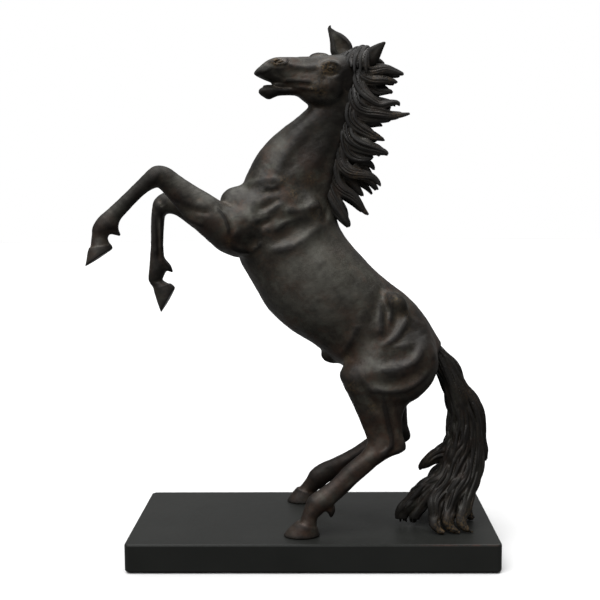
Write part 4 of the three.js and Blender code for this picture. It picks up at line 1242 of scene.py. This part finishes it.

# Painted shade: where the colour is darkened to stand in for shade, as in the valley at the
# mane's root, behind the jaw, under the haunch, on the forearm's lower plane and on the far legs:
# x, y, z, reach, share.
PAINTED_SHADE_PLACES = [
    ((26, -20, 424), 13, 0.75), ((34, -18, 446), 13, 0.75), ((18, -24, 396), 11, 0.6),
    ((-20, -24, 372), 14, 0.45), ((106, -34, 206), 20, 0.7), ((94, -40, 178), 18, 0.5),
    ((4, -24, 404), 24, 0.85), ((70, -40, 214), 32, 0.35), ((50, -40, 160), 28, 0.35),
    ((30, -17, 462), 12, 0.7), ((24, -16, 448), 9, 0.5), ((38, -14, 476), 12, 0.6),
    ((72, -34, 130), 22, 0.35), ((20, 48, 60), 42, 0.8), ((90, 34, 130), 40, 0.8),
    ((112, -20, 226), 16, 0.4), ((-60, -40, 300), 16, 0.4), ((-140, 36, 300), 36, 0.4),
    ((60, -44, 236), 7, 0.4), ((-100, -42, 326), 9, 0.9), ((-112, -42, 338), 7, 0.9),
    ((-90, -42, 316), 9, 0.8), ((-124, -42, 350), 6, 0.8), ((-164, -44, 346), 7, 0.5),
    ((-150, -44, 361), 5, 0.5), ((44, -16, 470), 9, 0.6),
    ((30, -46, 186), 12, 0.3), ((20, 0, 214), 24, 0.4), ((-44, 0, 250), 26, 0.3),
    ((41, -16, 442), 9, 0.7), ((35, -18, 418), 9, 0.7), ((27, -18, 392), 9, 0.7),
    ((20, -18, 366), 8, 0.7), ((47, -16, 462), 8, 0.6), ((-2, -22, 380), 14, 0.35),
    ((96, -30, 230), 14, 0.5), ((84, -40, 214), 9, 0.4), ((40, -40, 200), 10, 0.3),
]


def paint_spots(obj, rubs=RUBS):
    """Writes at each point how rubbed through and how warm the patina is, how pale it is, partly
    as painted light, and how much painted shade it has.
    """
    co = np.zeros(len(obj.data.vertices) * 3, np.float32)
    obj.data.vertices.foreach_get("co", co)
    at = co.reshape(-1, 3) / MM
    for name, places in (("rub", rubs), ("warm", WARM), ("pale", PALE_AND_PAINTED_LIGHT), ("painted_shade", PAINTED_SHADE_PLACES)):
        share = np.zeros(len(at))
        for centre, reach, amount in places:
            near = at if len(centre) == 3 else at[:, [0, 2]]
            share += amount * np.exp(-((near - centre) ** 2).sum(1) / reach ** 2)
        attribute = obj.data.attributes.new(name, "FLOAT", "POINT")
        attribute.data.foreach_set("value", np.clip(share, 0, 1).astype(np.float32))


def as_bmesh(points, quads, step):
    """A mesh to cut and clean."""
    mesh = make_mesh("work", points, quads, hollows(points, quads, step))
    bm = bmesh.new()
    bm.from_mesh(mesh)
    bpy.data.meshes.remove(mesh)
    return bm


def build_castings():
    """The six smaller castings, then the trunk that they are cut from."""
    for name, (low, high, step, seams) in CASTINGS.items():
        points, quads = sculpt(low, high, step * COARSE, head=name == "head")
        bm = as_bmesh(points, quads, step * COARSE)
        for seam, beyond in seams:
            slice_off(bm, seam, beyond)
        largest_island(bm)
        paint_spots(finish_piece(f"{name}_bronze", bm, BRONZE, [name]))
    step = TRUNK_STEP * COARSE
    points, quads = sculpt(*TRUNK_BOX, step)
    bm = as_bmesh(points, quads, step)
    slice_off(bm, "neck", False)
    for name, box in LIMB_BOXES.items():
        slice_off(bm, name, False, inside=box)
    largest_island(bm)
    paint_spots(finish_piece("trunk_bronze", bm, BRONZE, ["trunk"]))


def finish_hair(name, field, material, rubs, floor=None):
    """Turns a field of locks into the piece that replaces a CAD node."""
    points, quads = hair_mesh(field, floor)
    bm = as_bmesh(points, quads, field.step)
    largest_island(bm)
    paint_spots(finish_piece(f"{name}_bronze", bm, material, [name]), rubs)


def build_hair():
    """The mane with its forelock, and the tail."""
    mane = Field(*MANE_BOX, MANE_STEP * COARSE, HAIR_REACH)
    mane.add(loft(MANE_BODY, around=72))
    comb(mane, MANE_LOCKS, SEED, 0.4)
    for number, (across, shorten, rise, which) in enumerate(MANE_ROWS):
        row = across_mane(MANE_LOCKS[which], across, shorten, rise)
        comb(mane, row, SEED + 2 + number, 0.4, count=12)
    comb(mane, FORELOCKS, SEED + 9, 0.3, count=9, thick=0.24, sway=0.6)
    finish_hair("mane", mane, MANE_BRONZE_PAINTED_SHADE, MANE_RUBS)
    tail = Field(*TAIL_BOX, TAIL_STEP * COARSE, HAIR_REACH)
    tail.add(loft(TAIL_BODY, around=80))
    comb(tail, TAIL_LOCKS, SEED + 1, 0.5, count=15, thick=0.18, curl=1.2, sway=1.2, flat=0.8,
         least=1.0)
    finish_hair("tail", tail, TAIL_BRONZE_PAINTED_SHADE, TAIL_RUBS, GROUND)


def finish_cad_nodes():
    """Materials of the pieces that keep their CAD form."""
    paint, steel, felt = paint_material(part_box("plinth")), steel_material(), felt_material()
    for name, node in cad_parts.items():
        if name == "plinth":
            material = paint
        elif name == "felt_sheet":
            material = felt
        elif name.endswith(("_dowel", "_stud", "_washer", "_nut")):
            material = steel
        else:
            continue
        for material_slot in node.material_slots:
            material_slot.material = material


def add_stage():
    """A plain pale floor."""
    mesh = bpy.data.meshes.new("floor")
    size = 6.0
    mesh.from_pydata([(-size, -size, 0), (size, -size, 0), (size, size, 0), (-size, size, 0)], [],
                     [(0, 1, 2, 3)])
    floor = bpy.data.objects.new("floor", mesh)
    bpy.context.scene.collection.objects.link(floor)
    n = Nodes("pale_floor")
    tone = n.ramp(n.noise(3, 3), [(0.3, (0.4, 0.4, 0.4)), (0.7, (0.42, 0.42, 0.42))])
    n.put(n.shader.inputs["Base Color"], tone)
    n.shader.inputs["Roughness"].default_value = 0.8
    mesh.materials.append(n.material)
    # It takes the shadow, but doesn't light the horse or show in it.
    floor.visible_diffuse = False
    floor.visible_glossy = False


# How strongly the white surround lights the horse; the camera sees it as plain white.
AMBIENT = 0.28


def add_sun(name, towards, strength, spread):
    """A wide even light that comes from the direction given."""
    data = bpy.data.lights.new(name, "SUN")
    data.energy = strength
    data.angle = math.radians(spread)
    light = bpy.data.objects.new(name, data)
    light.rotation_euler = (-Vector(towards)).to_track_quat("-Z", "Y").to_euler()
    bpy.context.scene.collection.objects.link(light)


def add_lights():
    """A white surround that lights softly, with a key from the upper left and a light on top."""
    world = bpy.data.worlds.new("studio")
    bpy.context.scene.world = world
    world.use_nodes = True
    tree = world.node_tree
    background = tree.nodes["Background"]
    background.inputs["Color"].default_value = (1, 1, 1, 1)
    seen = tree.nodes.new("ShaderNodeLightPath").outputs["Is Camera Ray"]
    level = tree.nodes.new("ShaderNodeMapRange")
    tree.links.new(seen, level.inputs["Value"])
    level.inputs["To Min"].default_value = AMBIENT
    level.inputs["To Max"].default_value = 1.0
    tree.links.new(level.outputs["Result"], background.inputs["Strength"])
    add_sun("key", (-0.55, -0.75, 1.3), 5.2, 60)
    add_sun("top", (0.05, 0.1, 1.0), 4.5, 80)
    scene = bpy.context.scene
    scene.view_settings.view_transform = "Standard"
    scene.view_settings.look = "None"
    scene.view_settings.exposure = 0
    scene.view_settings.gamma = 1


# The camera's place in metres, and its turn to the right, down and about its own line of sight.
CAMERA_AT = (0.010, -0.974, 0.352)
CAMERA_TURN = (-1.25, 6.2, -0.48)


def add_camera():
    """A 60 mm lens at the height of the shoulder, turned a little down and to the left."""
    data = bpy.data.cameras.new("camera")
    data.lens = 60
    data.sensor_width = 36
    camera = bpy.data.objects.new("camera", data)
    yaw, pitch, roll = (math.radians(angle) for angle in CAMERA_TURN)
    forward = Vector((math.sin(yaw) * math.cos(pitch), math.cos(yaw) * math.cos(pitch),
                      -math.sin(pitch)))
    right = Vector((math.cos(yaw), -math.sin(yaw), 0))
    up = right.cross(forward)
    side = right * math.cos(roll) + up * math.sin(roll)
    top = -right * math.sin(roll) + up * math.cos(roll)
    camera.matrix_world = Matrix([(side[k], top[k], -forward[k], CAMERA_AT[k]) for k in range(3)]
                                 + [(0, 0, 0, 1)])
    bpy.context.scene.collection.objects.link(camera)
    bpy.context.scene.camera = camera


build_castings()
build_hair()
finish_cad_nodes()
add_stage()
add_lights()
add_camera()
